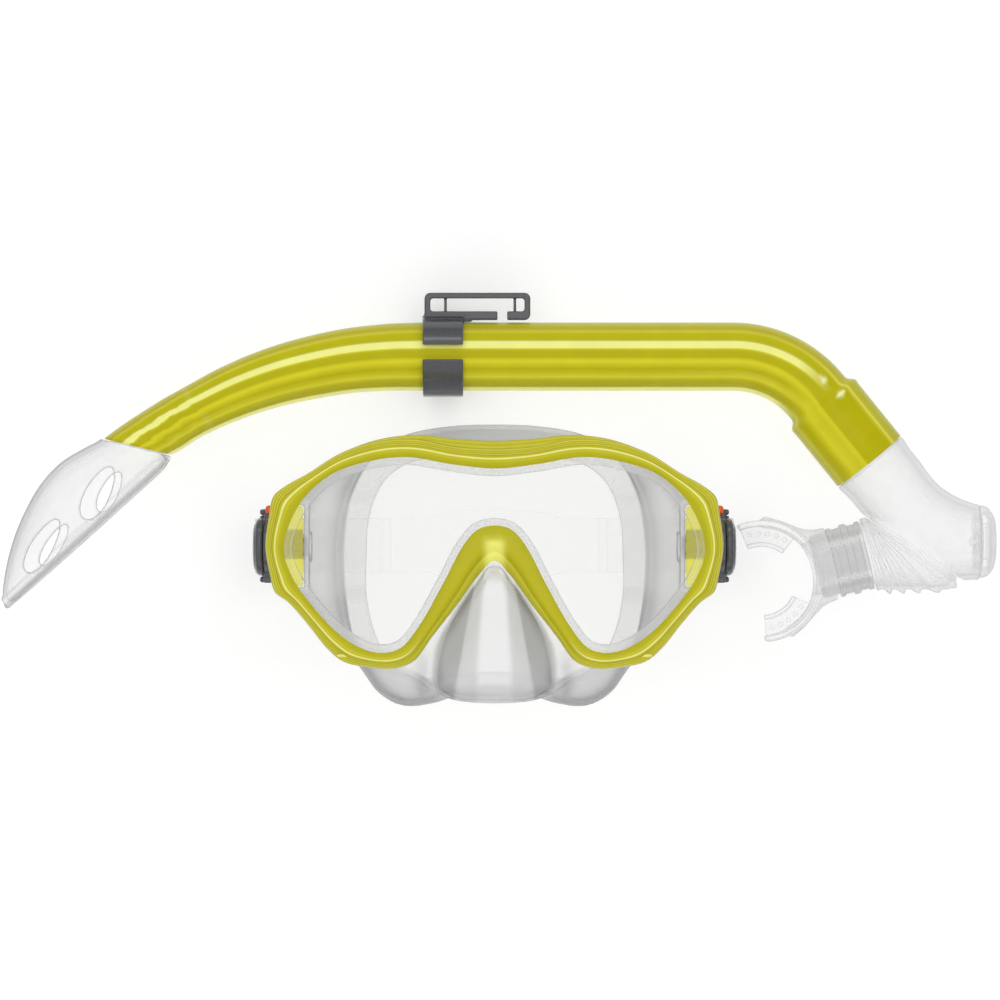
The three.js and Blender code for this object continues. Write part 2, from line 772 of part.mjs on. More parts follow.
function makeLowerChamber() {
  const wall = 1.6;
  const collar = alongSocket(socketLength + gap, socketRadius - 0.2);
  const shell = tube([collar, ...chamberPath]);
  const spigotRadius = socketRadius - 1.9 - gap;
  const spigot = tube([
    alongSocket(socketLength - spigotLength, spigotRadius),
    alongSocket(socketLength + 1.5, spigotRadius),
  ]);
  const root = { x: 158, y: 8, tilt: -33, half: 13, depth: 11.5, skew: 1 };
  const port = tube([root, seam]);
  const cavity = tube([
    alongSocket(socketLength - 1, spigotRadius - wall),
    ...chamberPath.slice(0, -1).map((station) => thinned(station, wall)),
    round(purgeX - 2.4, purgeY, 90, purgeBore),
    round(purgeX + 1, purgeY, 90, purgeBore),
  ]);
  const bore = tube([
    alongSocket(socketLength - spigotLength - 1, spigotRadius - wall),
    alongSocket(socketLength + 4, spigotRadius - wall),
  ]);
  const portBore = tube([thinned(root, wall), pushed(thinned(seam, wall), seamOut.x, seamOut.y)]);
  const beyond = new THREE.BoxGeometry(2 * seam.half + 1, 30, 40);
  beyond.translate(0, -15, 0);
  beyond.rotateZ(THREE.MathUtils.degToRad(seam.tilt));
  beyond.translate(seam.x, seam.y, snorkelZ);
  return cut(join(shell, spigot, port), cavity, bore, portBore, toSolid(beyond));
}

// The purge valve: a spoked seat, a soft disc with a stem, and a vented cover.
const purgeMiddle = (x) => [x, purgeY, snorkelZ];
const alongX = [1, 0, 0];

function makePurgeSeat() {
  const radius = purgeBore - gap;
  const start = purgeX - 1.8;
  const ring = turned([[radius - 1.6, 0], [radius, 0], [radius, 2], [radius - 1.6, 2]],
    purgeMiddle(start), alongX, 20);
  const hub = rod(purgeMiddle(start), alongX, 2, 2.6, 16);
  const spokes = [0, 60, 120].map((turn) => {
    const bar = new THREE.BoxGeometry(2, 2 * radius - 1.2, 1.4);
    bar.rotateX(THREE.MathUtils.degToRad(turn));
    bar.translate(start + 1, purgeY, snorkelZ);
    return toSolid(bar);
  });
  return cut(join(ring, hub, ...spokes), rod(purgeMiddle(start - 1), alongX, 4, 1.5, 16));
}

function makePurgeValve() {
  const disc = rod(purgeMiddle(purgeX + 0.5), alongX, 0.9, 9.4, 24);
  const stem = rod(purgeMiddle(purgeX - 3.2), alongX, 4, 1.2, 12);
  return join(disc, stem);
}

function makePurgeCover() {
  const start = purgeX + gap;
  const shell = turned([
    [10.9, 0], [12.5, 0], [12.2, 2], [11, 4], [8.6, 5.3], [4, 5.8], [2, 5.8],
    [2, 4.5], [8, 4.1], [10, 3], [10.9, 1.4],
  ], purgeMiddle(start), alongX, 20);
  const vents = [45, 135].map((turn) => {
    const slot = new THREE.BoxGeometry(2.2, 40, 5);
    slot.rotateX(THREE.MathUtils.degToRad(turn));
    slot.translate(start + 2.4, purgeY, snorkelZ);
    return toSolid(slot);
  });
  return cut(shell, ...vents);
}

// ---------------------------------------------------------------- neck, connector, mouthpiece

const mouthpieceAim = [-0.971, -0.239, 0];
const connectorEnd = { x: 136.5, y: -3.2 };   // where the pleated neck meets the connector
const connectorLength = 12.4;
const airwayRadius = 10;

function alongMouthpiece(distance) {
  return [
    connectorEnd.x + mouthpieceAim[0] * distance,
    connectorEnd.y + mouthpieceAim[1] * distance,
    snorkelZ,
  ];
}

// Rings of the neck fan out from the crotch, close together there and wide apart below.
const crotch = { x: 135.2, y: 10.4 };
const pleats = 5;

function neckStations(wall) {
  const start = { turn: -33, reach: 40.2, depth: 13.4 };
  const end = { turn: -76.2, reach: 27.6, depth: 13 };
  const count = pleats * 2;
  const stations = [];
  for (let i = 0; i <= count; i += 1) {
    const share = i / count;
    const turn = THREE.MathUtils.lerp(start.turn, end.turn, share);
    const fold = i % 2 === 1 && i < count ? 1.1 : 0;
    const angle = THREE.MathUtils.degToRad(turn);
    const lowest = 26.3 / Math.sin(-angle);
    const reach = Math.min(start.reach, lowest) + fold - wall;
    const near = wall;
    const middle = (reach + near) / 2;
    stations.push({
      x: crotch.x + Math.cos(angle) * middle + gap * 2 * seamOut.x,
      y: crotch.y + Math.sin(angle) * middle + gap * 2 * seamOut.y,
      tilt: turn,
      half: (reach - near) / 2,
      depth: THREE.MathUtils.lerp(start.depth, end.depth, share) + fold - wall,
      skew: 1,
    });
  }
  return stations;
}

function makeFlexNeck() {
  const wall = 1.5;
  const bore = neckStations(wall);
  const first = pushed(bore[0], -seamOut.x, -seamOut.y);
  const last = pushed(bore[bore.length - 1], mouthpieceAim[0] * 2, mouthpieceAim[1] * 2);
  return cut(tube(neckStations(0)), tube([first, ...bore, last]));
}

function makeConnector() {
  const profile = [
    [airwayRadius, 0], [12.8, 0], [12.8, 1.6], [12.2, 1.9], [12.2, 4.6], [13.1, 5], [13.1, 7.2],
    [12.2, 7.6], [12.2, 10.4], [12.8, 10.7], [12.8, connectorLength],
    [11.4, connectorLength], [11.4, connectorLength + 6], [airwayRadius, connectorLength + 6],
  ];
  return turned(profile, alongMouthpiece(gap + 0.6), mouthpieceAim, 20);
}

// The flange follows the teeth: part of a circle, open towards the wearer.
const bite = { x: 97.4, y: -12.9, radius: 20.1, thickness: 2, axis: 13.8, spread: 100 };

function biteSector(inner, outer, from, to, low, high) {
  const shape = new THREE.Shape();
  const radians = (degrees) => THREE.MathUtils.degToRad(bite.axis + degrees);
  shape.absarc(bite.x, bite.y, outer, radians(from), radians(to), false);
  shape.absarc(bite.x, bite.y, inner, radians(to), radians(from), true);
  return prism(shape.getPoints(10).slice(0, -1), low, high);
}

function makeMouthpiece() {
  const outer = bite.radius + bite.thickness;
  const flange = biteSector(bite.radius, outer, -bite.spread, bite.spread,
    snorkelZ - 12.5, snorkelZ + 12.5);
  const [collarX, collarY] = alongMouthpiece(gap + 0.6 + connectorLength + gap);
  const tilt = bite.axis + 90;
  const flare = (distance, half, depth) => {
    const x = collarX + mouthpieceAim[0] * distance;
    const y = collarY + mouthpieceAim[1] * distance;
    return { x, y, tilt, half, depth, skew: 1 };
  };
  const duct = tube([flare(0, 13.2, 13.2), flare(4, 14.2, 12), flare(9, 18, 10.4),
    flare(13.5, 21.5, 9)]);
  const airway = tube([flare(-1, 11.7, 11.7), flare(6.3, 11.7, 11.7)]);
  const throat = tube([flare(5.5, airwayRadius, airwayRadius), flare(13, 9, 6), flare(16, 9, 6)]);
  const teeth = rod([bite.x, bite.y, 0], [0, 0, 1], 40, bite.radius, 40);
  const tabInner = 12.6;
  const tabs = [[39, bite.spread - 1], [-bite.spread + 1, -39]].flatMap(([from, to]) => [
    biteSector(tabInner, outer - 0.5, from, to, snorkelZ - 1.6, snorkelZ + 1.6),
    biteSector(tabInner, tabInner + 1.4, from, to, snorkelZ - 3.6, snorkelZ + 3.6),
  ]);
  return join(cut(join(cut(duct, teeth), flange), airway, throat), ...tabs);
}

// ---------------------------------------------------------------- assembly

const set = new THREE.Group();
set.name = 'mask_and_snorkel';

function addMesh(name, geometry, look) {
  const mesh = new THREE.Mesh(geometry, look);
  mesh.name = name;
  set.add(mesh);
}

function addPair(name, solid, look) {
  const geometry = toGeometry(solid);
  addMesh(`${name}_right`, geometry, look);
  addMesh(`${name}_left`, mirrored(geometry), look);
}

addMesh('front_bezel', toGeometry(makeFrontBezel()), yellow);
addMesh('rear_frame', toGeometry(makeRearFrame()), yellow);
addMesh('lens', toGeometry(makeLens()), clear);
addMesh('skirt', toGeometry(makeSkirt()), silicone);
addMesh('strap', toGeometry(makeStrap()), silicone);
addPair('buckle_body', makeBuckleBody(), dark);
addPair('buckle_cap', makeBuckleCap(), dark);
addPair('swivel_pin', makeSwivelPin(), dark);
addPair('strap_roller', makeStrapRoller(), dark);
addPair('release_button', makeReleaseButton(), orange);
addMesh('barrel', toGeometry(makeBarrel()), yellow);
addMesh('splash_guard', toGeometry(makeSplashGuard()), clear);
addMesh('keeper_clip', toGeometry(makeKeeperClip()), dark);
addMesh('lower_chamber', toGeometry(makeLowerChamber()), clear);
addMesh('purge_seat', toGeometry(makePurgeSeat()), clear);
addMesh('purge_valve', toGeometry(makePurgeValve()), silicone);
addMesh('purge_cover', toGeometry(makePurgeCover()), clear);
addMesh('flex_neck', toGeometry(makeFlexNeck()), silicone);
addMesh('mouthpiece_connector', toGeometry(makeConnector()), clear);
addMesh('mouthpiece', toGeometry(makeMouthpiece()), silicone);

set.position.set(-centreX, -centreY, 0);

export default set;
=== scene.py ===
"""Looks of the mask and snorkel set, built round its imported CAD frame.

The set lies on a pale table: the mask on its face seal with the lens up, the snorkel beyond its brow.
Shapes are drawn in millimetres about the middle of the mask and placed in the row frame at the end.
"""

import itertools
import math

import bpy
import numpy as np
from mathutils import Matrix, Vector


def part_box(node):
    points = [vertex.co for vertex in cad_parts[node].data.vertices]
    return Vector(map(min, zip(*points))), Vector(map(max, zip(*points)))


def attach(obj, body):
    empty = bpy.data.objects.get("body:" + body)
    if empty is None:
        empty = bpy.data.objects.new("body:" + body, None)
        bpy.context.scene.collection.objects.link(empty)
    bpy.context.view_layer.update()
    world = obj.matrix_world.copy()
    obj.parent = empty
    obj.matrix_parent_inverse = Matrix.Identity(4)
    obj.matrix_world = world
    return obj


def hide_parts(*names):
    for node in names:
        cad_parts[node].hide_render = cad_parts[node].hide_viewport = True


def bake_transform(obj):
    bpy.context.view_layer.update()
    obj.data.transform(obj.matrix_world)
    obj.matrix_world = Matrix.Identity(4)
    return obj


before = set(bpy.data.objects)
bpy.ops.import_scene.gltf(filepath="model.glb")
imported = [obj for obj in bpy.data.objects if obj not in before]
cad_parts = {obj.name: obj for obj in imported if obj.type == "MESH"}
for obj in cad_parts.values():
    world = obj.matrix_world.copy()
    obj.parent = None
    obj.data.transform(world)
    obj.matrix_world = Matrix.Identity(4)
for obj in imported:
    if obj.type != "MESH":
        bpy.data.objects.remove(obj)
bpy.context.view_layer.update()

# ---------------------------------------------------------------- driving dimensions

MM = 0.001


def node_box(name):
    """A CAD node's lowest and highest corners, in millimetres in the row frame."""
    low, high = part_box(name)
    return np.array(low) / MM, np.array(high) / MM


lens_low, lens_high = node_box("lens")
bezel_low, bezel_high = node_box("front_bezel")
barrel_high = node_box("barrel")[1]

GAP = 0.3                                     # clearance between pieces that touch
MIDDLE_X = (lens_low[0] + lens_high[0]) / 2   # middle of the mask in the row frame
MIDDLE_Y = -17.0
LENS_BACK = lens_low[2]
LENS_FRONT = lens_high[2]
BEZEL_FRONT = bezel_high[2]
SEAM = bezel_low[2] - GAP                     # split between the front bezel and the rear frame
FRAME_BACK = 37.8
SNORKEL_Z = barrel_high[2] / 2                # the flared socket rests on the table
SOCKET_RADIUS = SNORKEL_Z
BARREL_RADIUS = 12.5
BARREL_WALL = 2.0
BARREL_Y = barrel_high[1] - MIDDLE_Y - BARREL_RADIUS
SILICONE = 1.8                                # wall of the skirt
LIP = 2.6                                     # how far the gasket laps over the lens
GASKET = 1.7                                  # gasket outside the lens's edge
PLATE_TOP = FRAME_BACK - GAP                  # front face of the skirt's body
PIN_Y = -0.3                                  # the buckles' swivel pins
PIN_Z = 29.0
PIN_HEAD = 3.15                               # radius of a pin and its inner head
PIN_BORE = PIN_HEAD + GAP
LUG_INNER, LUG_OUTER = 69.2, 79.6
LUG_HALF = 14.5

# ---------------------------------------------------------------- meshes


def make_object(name, part, material, body, nodes, bands=None):
    """A mesh drawn in mask millimetres, set in the row frame, that rides with a CAD body.

    A part is its points and faces, and its points' normals if they are known.
    bands are named values for its points, which its material reads.
    """
    points, faces = part[:2]
    mesh = bpy.data.meshes.new(name)
    placed = (np.asarray(points, float) + [MIDDLE_X, MIDDLE_Y, 0]) * MM
    mesh.from_pydata(placed.tolist(), [], [list(f) for f in faces])
    mesh.update()
    mesh.materials.append(material)
    mesh.polygons.foreach_set("use_smooth", [True] * len(mesh.polygons))
    for key, values in (bands or {}).items():
        layer = mesh.attributes.new(key, "FLOAT", "POINT")
        layer.data.foreach_set("value", np.asarray(values, np.float32))
    if len(part) > 2:
        mesh.normals_split_custom_set_from_vertices(part[2].tolist())
    made = bpy.data.objects.new(name, mesh)
    bpy.context.scene.collection.objects.link(made)
    if body:
        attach(made, body)
    if nodes:
        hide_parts(*nodes)
    return made


def merged(*parts):
    """Several parts as one. A normal of no length leaves the shading to Blender."""
    points = []
    faces = []
    normals = []
    for part in parts:
        start = sum(len(p) for p in points)
        points.append(np.asarray(part[0], float))
        faces.extend([start + i for i in face] for face in part[1])
        normals.append(part[2] if len(part) > 2 else np.zeros((len(part[0]), 3)))
    return np.concatenate(points), faces, np.concatenate(normals)


def skin_rings(rings, closed_path=False):
    """A closed surface over rings that all have the same number of points."""
    rings = [np.asarray(ring, float) for ring in rings]
    sides = len(rings[0])
    count = len(rings)
    points = np.concatenate(rings)
    faces = []
    for r in range(count if closed_path else count - 1):
        after = (r + 1) % count
        for i in range(sides):
            j = (i + 1) % sides
            faces.append([r * sides + i, r * sides + j, after * sides + j, after * sides + i])
    if not closed_path:
        faces.append(list(range(sides))[::-1])
        faces.append([(count - 1) * sides + i for i in range(sides)])
    return outward(points, faces)


def outward(points, faces, *normals):
    """The same part with its faces turned so that a closed surface has its outside out."""
    fans = np.array([(f[0], f[i], f[i + 1]) for f in faces for i in range(1, len(f) - 1)])
    a, b, c = (points[fans[:, k]] for k in range(3))
    volume = (a * np.cross(b, c)).sum()
    if volume < 0:
        faces = [face[::-1] for face in faces]
    return points, faces, *normals


def spread(points, count, closed=True):
    """Evenly spaced points along a dense line."""
    points = np.asarray(points, float)
    line = np.concatenate([points, points[:1]]) if closed else points
    run = np.concatenate([[0], np.cumsum(np.linalg.norm(np.diff(line, axis=0), axis=1))])
    steps = np.linspace(0, run[-1], count, endpoint=not closed)
    return np.stack([np.interp(steps, run, line[:, k]) for k in range(line.shape[1])], 1)


def smooth_line(points, closed=False, steps=24):
    """A dense centripetal Catmull-Rom line through the points."""
    p = np.asarray(points, float)
    if not closed:
        before_first = 2 * p[0] - p[1]
        after_last = 2 * p[-1] - p[-2]
        p = np.concatenate([[before_first], p, [after_last]])
    count = len(p)
    pieces = []
    starts = range(count) if closed else range(1, count - 2)
    for i in starts:
        q = [p[(i + k) % count] for k in (-1, 0, 1, 2)]
        t = [0.0]
        for a, b in zip(q, q[1:]):
            t.append(t[-1] + max(np.linalg.norm(b - a), 1e-6) ** 0.5)
        u = np.linspace(t[1], t[2], steps, endpoint=False)[:, None]
        a = [(t[k + 1] - u) / (t[k + 1] - t[k]) * q[k] + (u - t[k]) / (t[k + 1] - t[k]) * q[k + 1]
             for k in range(3)]
        b = [(t[k + 2] - u) / (t[k + 2] - t[k]) * a[k] + (u - t[k]) / (t[k + 2] - t[k]) * a[k + 1]
             for k in range(2)]
        pieces.append((t[2] - u) / (t[2] - t[1]) * b[0] + (u - t[1]) / (t[2] - t[1]) * b[1])
    if not closed:
        pieces.append(p[-2:-1])
    return np.concatenate(pieces)


def rounded_profile(corners, radius, steps=4):
    """A closed flat profile with its corners rounded."""
    corners = [np.array(c, float) for c in corners]
    out = []
    for i, corner in enumerate(corners):
        before = corners[i - 1] - corner
        after = corners[(i + 1) % len(corners)] - corner
        reach = min(radius, np.linalg.norm(before) * 0.45, np.linalg.norm(after) * 0.45)
        start = corner + before / np.linalg.norm(before) * reach
        end = corner + after / np.linalg.norm(after) * reach
        for k in range(steps + 1):
            t = k / steps
            out.append((1 - t) ** 2 * start + 2 * t * (1 - t) * corner + t * t * end)
    return np.array(out)


def turns_of(sides):
    """Evenly spaced angles once round, in radians."""
    return np.arange(sides) / sides * 2 * math.pi


def turn_to(aim):
    """The turn that takes the Z axis to an aim, for points written as rows."""
    axis = Vector(aim).normalized()
    return np.array(Vector((0, 0, 1)).rotation_difference(axis).to_matrix()).T


def turned(profile, start, aim, sides=72):
    """A turned piece: the closed profile's points are [radius, distance along the aim]."""
    turn = turn_to(aim)
    rings = []
    for angle in turns_of(sides):
        x = profile[:, 0] * math.cos(angle)
        y = profile[:, 0] * math.sin(angle)
        rings.append(np.stack([x, y, profile[:, 1]], 1) @ turn + start)
    return skin_rings(rings, closed_path=True)


def rod(start, aim, length, radius, bevel=0.4, sides=48):
    """A round bar with rounded ends."""
    turn = turn_to(aim)
    angles = turns_of(sides)
    rows = []
    for angle in np.linspace(0, math.pi / 2, 5):
        rows.append((radius - bevel + bevel * math.sin(angle), bevel - bevel * math.cos(angle)))
    rows += [(r, length - z) for r, z in reversed(rows)]
    rings = []
    for r, z in rows:
        ring = np.stack([r * np.cos(angles), r * np.sin(angles), np.full(sides, z)], 1)
        rings.append(ring @ turn + start)
    return skin_rings(rings)


# ---------------------------------------------------------------- curves of one value


def ramp(value, low, high):
    """0 below low, 1 above high, and even between them."""
    return np.clip((value - low) / (high - low), 0, 1)


def bell(value, middle, width):
    """1 at the middle, falling smoothly to nothing about two widths away."""
    return np.exp(-((value - middle) / width) ** 2)


def measured(x, y, origin, aim):
    """How far places are from an origin along a flat aim."""
    return (x - origin[0]) * aim[0] + (y - origin[1]) * aim[1]


# ---------------------------------------------------------------- surfaces of distance fields


def smooth_min(a, b, radius):
    """The union of two distance fields, with a fillet."""
    h = np.maximum(radius - np.abs(a - b), 0) / radius
    return np.minimum(a, b) - h * h * radius / 4


def smooth_max(a, b, radius):
    """The overlap of two distance fields, with a rounded edge."""
    return -smooth_min(-a, -b, radius)


def block(x, y, z, low, high, radius):
    """Distance to a box with rounded edges."""
    q = [np.abs(v - (l + h) / 2) - (h - l) / 2 + radius for v, l, h in zip((x, y, z), low, high)]
    outside = np.sqrt(sum(np.maximum(v, 0) ** 2 for v in q))
    return outside + np.minimum(np.maximum(np.maximum(q[0], q[1]), q[2]), 0) - radius


def chain(x, y, z, stations):
    """Distance to a round tube through stations [x, y, z, radius]."""
    best = np.full(np.shape(x), 1e3)
    for a, b in zip(stations, stations[1:]):
        a = np.array(a, float)
        b = np.array(b, float)
        along = b[:3] - a[:3]
        t = ((x - a[0]) * along[0] + (y - a[1]) * along[1] + (z - a[2]) * along[2]) / (along @ along)
        t = np.clip(t, 0, 1)
        gap = np.sqrt((x - a[0] - t * along[0]) ** 2 + (y - a[1] - t * along[1]) ** 2
                      + (z - a[2] - t * along[2]) ** 2)
        best = smooth_min(best, gap - (a[3] + t * (b[3] - a[3])), 1.0)
    return best


def oval(u, v, half_u, half_v):
    """Near enough the distance to an ellipse."""
    scaled = np.sqrt((u / half_u) ** 2 + (v / half_v) ** 2)
    steep = np.sqrt((u / half_u ** 2) ** 2 + (v / half_v ** 2) ** 2)
    return scaled * (scaled - 1) / np.maximum(steep, 1e-6)


def cell_points(values):
    """Where a surface crosses each cell of a grid of field values, and the cells' numbers."""
    nx, ny, nz = values.shape

    def corner(grid, offset):
        dx, dy, dz = offset
        return grid[dx:nx - 1 + dx, dy:ny - 1 + dy, dz:nz - 1 + dz]

    offsets = list(itertools.product((0, 1), repeat=3))
    total = sum(corner(values < 0, o).astype(np.int8) for o in offsets)
    active = (total > 0) & (total < 8)
    count = int(active.sum())
    index = np.full(active.shape, -1)
    index[active] = np.arange(count)
    summed = np.zeros((count, 3))
    crossings = np.zeros(count)
    for a, b in itertools.combinations(offsets, 2):
        if sum(abs(p - q) for p, q in zip(a, b)) != 1:
            continue
        va = corner(values, a)[active]
        vb = corner(values, b)[active]
        crosses = (va < 0) != (vb < 0)
        t = np.where(crosses, va / np.where(crosses, va - vb, 1), 0)[:, None]
        point = np.array(a) + t * (np.array(b) - np.array(a))
        summed += point * crosses[:, None]
        crossings += crosses
    cell = np.stack(np.nonzero(active), 1)
    return cell + summed / crossings[:, None], index


def cell_faces(inside, index):
    """A quad round every grid edge that the surface crosses, facing out."""
    faces = []
    for axis in range(3):
        u, v = [(1, 2), (2, 0), (0, 1)][axis]
        near = [slice(1, -1)] * 3
        near[axis] = slice(0, -1)
        past = list(near)
        past[axis] = slice(1, None)
        first = inside[tuple(near)]
        second = inside[tuple(past)]
        at = np.stack(np.nonzero(first != second), 1)
        lead = first[tuple(at.T)]
        at[:, u] += 1
        at[:, v] += 1
        quad = []
        for du, dv in ((0, 0), (-1, 0), (-1, -1), (0, -1)):
            place = at.copy()
            place[:, u] += du
            place[:, v] += dv
            quad.append(index[tuple(place.T)])
        quad = np.stack(quad, 1)
        quad[~lead] = quad[~lead][:, ::-1]
        faces.append(quad)
    return np.concatenate(faces)


def slope_of(field, points):
    """How steeply a field rises along each axis."""
    nudge = 0.05
    rises = [field(*(points + d).T) - field(*(points - d).T) for d in np.eye(3) * nudge]
    return np.stack(rises, 1) / (2 * nudge)


def field_skin(field, low, high, step):
    """The surface where a field is zero, as points, faces and normals. A field is negative inside.

    The points are drawn onto the surface in a few short moves. A normal that disagrees with the faces
    round it, as on a sharp edge, is left to Blender.
    """
    low = np.array(low, float)
    counts = np.ceil((np.array(high, float) - low) / step).astype(int) + 1
    axes = [low[i] + step * np.arange(counts[i]) for i in range(3)]
    values = field(*np.meshgrid(*axes, indexing="ij"))
    cells, index = cell_points(values)
    points = low + step * cells
    faces = cell_faces(values < 0, index)
    longest = 0.3 * step
    for _ in range(4):
        slope = slope_of(field, points)
        steep = np.maximum((slope ** 2).sum(1), 0.05)
        move = -(field(*points.T) / steep)[:, None] * slope
        size = np.linalg.norm(move, axis=1, keepdims=True)
        points = points + move * np.minimum(1, longest / np.maximum(size, 1e-9))
    slope = slope_of(field, points)
    normals = slope / np.maximum(np.linalg.norm(slope, axis=1, keepdims=True), 1e-9)
    a, b, c, d = (points[faces[:, k]] for k in range(4))
    facing = np.cross(c - a, d - b)
    around = np.zeros_like(points)
    for k in range(4):
        np.add.at(around, faces[:, k], facing)
    agrees = (around * normals).sum(1) > 0.6 * np.linalg.norm(around, axis=1)
    return points, faces.tolist(), normals * agrees[:, None]


# ---------------------------------------------------------------- outlines of the mask


def whole(half):
    """A closed line from its half outline, which runs from the top round the +X side."""
    left = [(-x, y) for x, y in half[1:-1]][::-1]
    return smooth_line(list(half) + left, closed=True)


LOWER_FRAME = [
    (55, 33.6), (67, 26.2), (74.5, 22), (79.3, 18), (80.8, 11), (82.1, 0), (80.4, -10.5),
    (78.8, -16.3), (74, -20), (67.5, -27.3), (60, -36.6), (54.2, -41.3), (46, -43.2),
    (36.1, -43.8), (29, -41.2), (22, -32), (12.5, -19.8), (5.5, -10.2), (0, -5.1),
]
FRAME_LINE = whole([(0, 38), (14, 38.7), (28, 40.1), (42, 38.4)] + LOWER_FRAME)
BEZEL_LINE = whole([(0, 35.2), (14, 36), (28, 38.6), (42, 37.8)] + LOWER_FRAME)
WINDOW_LINE = whole([
    (0, 27.9), (14.3, 29.3), (32, 32), (46, 30.2), (58, 26), (67, 18.6), (73, 9), (75.4, -1),
    (72.6, -10.4), (65, -21.4), (55.5, -31.3), (47, -36.6), (39.7, -38), (33.5, -36.2),
    (27, -28.4), (18, -12.5), (11.4, 0), (6.2, 6), (0, 7.6),
])
SKIRT_FRONT = whole([
    (0, 34.5), (16, 35.6), (33, 37.4), (46, 34.8), (58, 29), (68, 21.5), (75.5, 12), (78, 0),
    (75.5, -11), (67, -23.5), (57, -35.5), (47, -41), (38, -43.5), (28, -47.5), (19, -54),
    (9, -56.3), (0, -56.8),
])
SKIRT_REAR = whole([
    (0, 44.6), (20, 43.5), (34, 40.2), (46, 33), (53.4, 20), (56.4, 2), (56, -18), (53.4, -34),
    (48.7, -45), (43, -54), (34, -59), (22, -58), (12, -54.5), (0, -53),
])
SEAL_LINE = whole([
    (0, 33), (20, 32.5), (33, 29.5), (41, 23), (46, 10), (47, -4), (46.8, -20), (44, -32),
    (38, -43), (28, -48.5), (14, -47.5), (0, -46.5),
])
# Marks at the same place round the ring: middle of the brow, brow corner, temple, cheek corner,
# cheek by the nose, and the top of the nose arch.
WINDOW_MARKS = [(0, 27.9), (46, 30.2), (75.4, -1), (52, -34), (33.5, -36.2), (18, -12.5), (0, 7.6)]
FRAME_MARKS = [(0, 38), (48, 36.7), (82.1, 0), (57, -39), (29.5, -42), (12.5, -19.8), (0, -5.1)]


def between_marks(line, marks, counts):
    """Half a closed line from top to bottom, with a set number of points between marks."""
    run = [int(np.argmin(np.linalg.norm(line - m, axis=1))) for m in np.array(marks, float)]
    half = []
    for start, end, count in zip(run, run[1:], counts):
        half.append(spread(line[start:end + 1], count + 1, closed=False)[:-1])
    half.append(line[run[-1]][None])
    right = np.concatenate(half)
    left = right[1:-1][::-1] * [-1, 1]
    return np.concatenate([right, left])


MARK_COUNTS = [30, 34, 34, 16, 22, 18]
WINDOW = between_marks(WINDOW_LINE, WINDOW_MARKS, MARK_COUNTS)
FRAME_EDGE = between_marks(FRAME_LINE, FRAME_MARKS, MARK_COUNTS)
BEZEL_EDGE = between_marks(BEZEL_LINE, FRAME_MARKS, MARK_COUNTS)


def normals_of(line):
    """The outward unit normals of a closed line that runs clockwise."""
    along = np.roll(line, -1, 0) - np.roll(line, 1, 0)
    normal = np.stack([-along[:, 1], along[:, 0]], 1)
    normal /= np.linalg.norm(normal, axis=1, keepdims=True)
    return normal


def edge_ring(line, profile):
    """A closed ring that follows a line: profile rows are [distance outwards, height]."""
    normal = normals_of(line)
    rings = [np.column_stack([p + n * profile[:, :1], profile[:, 1]])
             for p, n in zip(line, normal)]
    return skin_rings(rings, closed_path=True)


def band_ring(inner, outer, profile):
    """A closed ring between two lines: profile rows are [share of the width, mm further out, height]."""
    rings = []
    for a, b in zip(inner, outer):
        way = (b - a) / np.linalg.norm(b - a)
        across = a + (b - a) * profile[:, :1] + way * profile[:, 1:2]
        rings.append(np.column_stack([across, profile[:, 2]]))
    return skin_rings(rings, closed_path=True)


def plan_table(lines, pitch=0.75, margin=6):
    """Signed distances to closed lines on a flat grid, one layer for each line."""
    reach = np.abs(np.concatenate(lines)).max(0) + margin
    xs = np.arange(-reach[0], reach[0] + pitch, pitch)
    ys = np.arange(-reach[1], reach[1] + pitch, pitch)
    gx, gy = np.meshgrid(xs, ys, indexing="ij")
    layers = []
    for line in lines:
        a = line
        b = np.roll(line, -1, 0)
        best = np.full(gx.shape, 1e6)
        winding = np.zeros(gx.shape, bool)
        for (ax, ay), (bx, by) in zip(a, b):
            ex, ey = bx - ax, by - ay
            t = np.clip(((gx - ax) * ex + (gy - ay) * ey) / (ex * ex + ey * ey), 0, 1)
            best = np.minimum(best, (gx - ax - t * ex) ** 2 + (gy - ay - t * ey) ** 2)
            if ay != by:
                crosses = ((ay > gy) != (by > gy)) & (gx < (bx - ax) * (gy - ay) / (by - ay) + ax)
                winding ^= crosses
        layers.append(np.where(winding, -1, 1) * np.sqrt(best))
    return {"low": (xs[0], ys[0]), "pitch": pitch, "layers": np.stack(layers)}


def look_up(table, x, y, layer):
    """A plan table's distance at places, with a layer number that may lie between two layers."""
    layers = table["layers"]
    fx = np.clip((x - table["low"][0]) / table["pitch"], 0, layers.shape[1] - 1.001)
    fy = np.clip((y - table["low"][1]) / table["pitch"], 0, layers.shape[2] - 1.001)
    fl = np.clip(np.broadcast_to(layer, np.shape(fx)), 0, max(layers.shape[0] - 1.001, 0))
    ix, iy, il = fx.astype(int), fy.astype(int), fl.astype(int)
    tx, ty, tl = fx - ix, fy - iy, fl - il
    more = np.minimum(il + 1, layers.shape[0] - 1)
    value = 0
    for lx, wx in ((ix, 1 - tx), (ix + 1, tx)):
        for ly, wy in ((iy, 1 - ty), (iy + 1, ty)):
            value = value + wx * wy * ((1 - tl) * layers[il, lx, ly] + tl * layers[more, lx, ly])
    return value


# ---------------------------------------------------------------- materials


def start_material(name):
    made = bpy.data.materials.new(name)
    made.use_nodes = True
    made.node_tree.nodes.clear()
    return made, made.node_tree


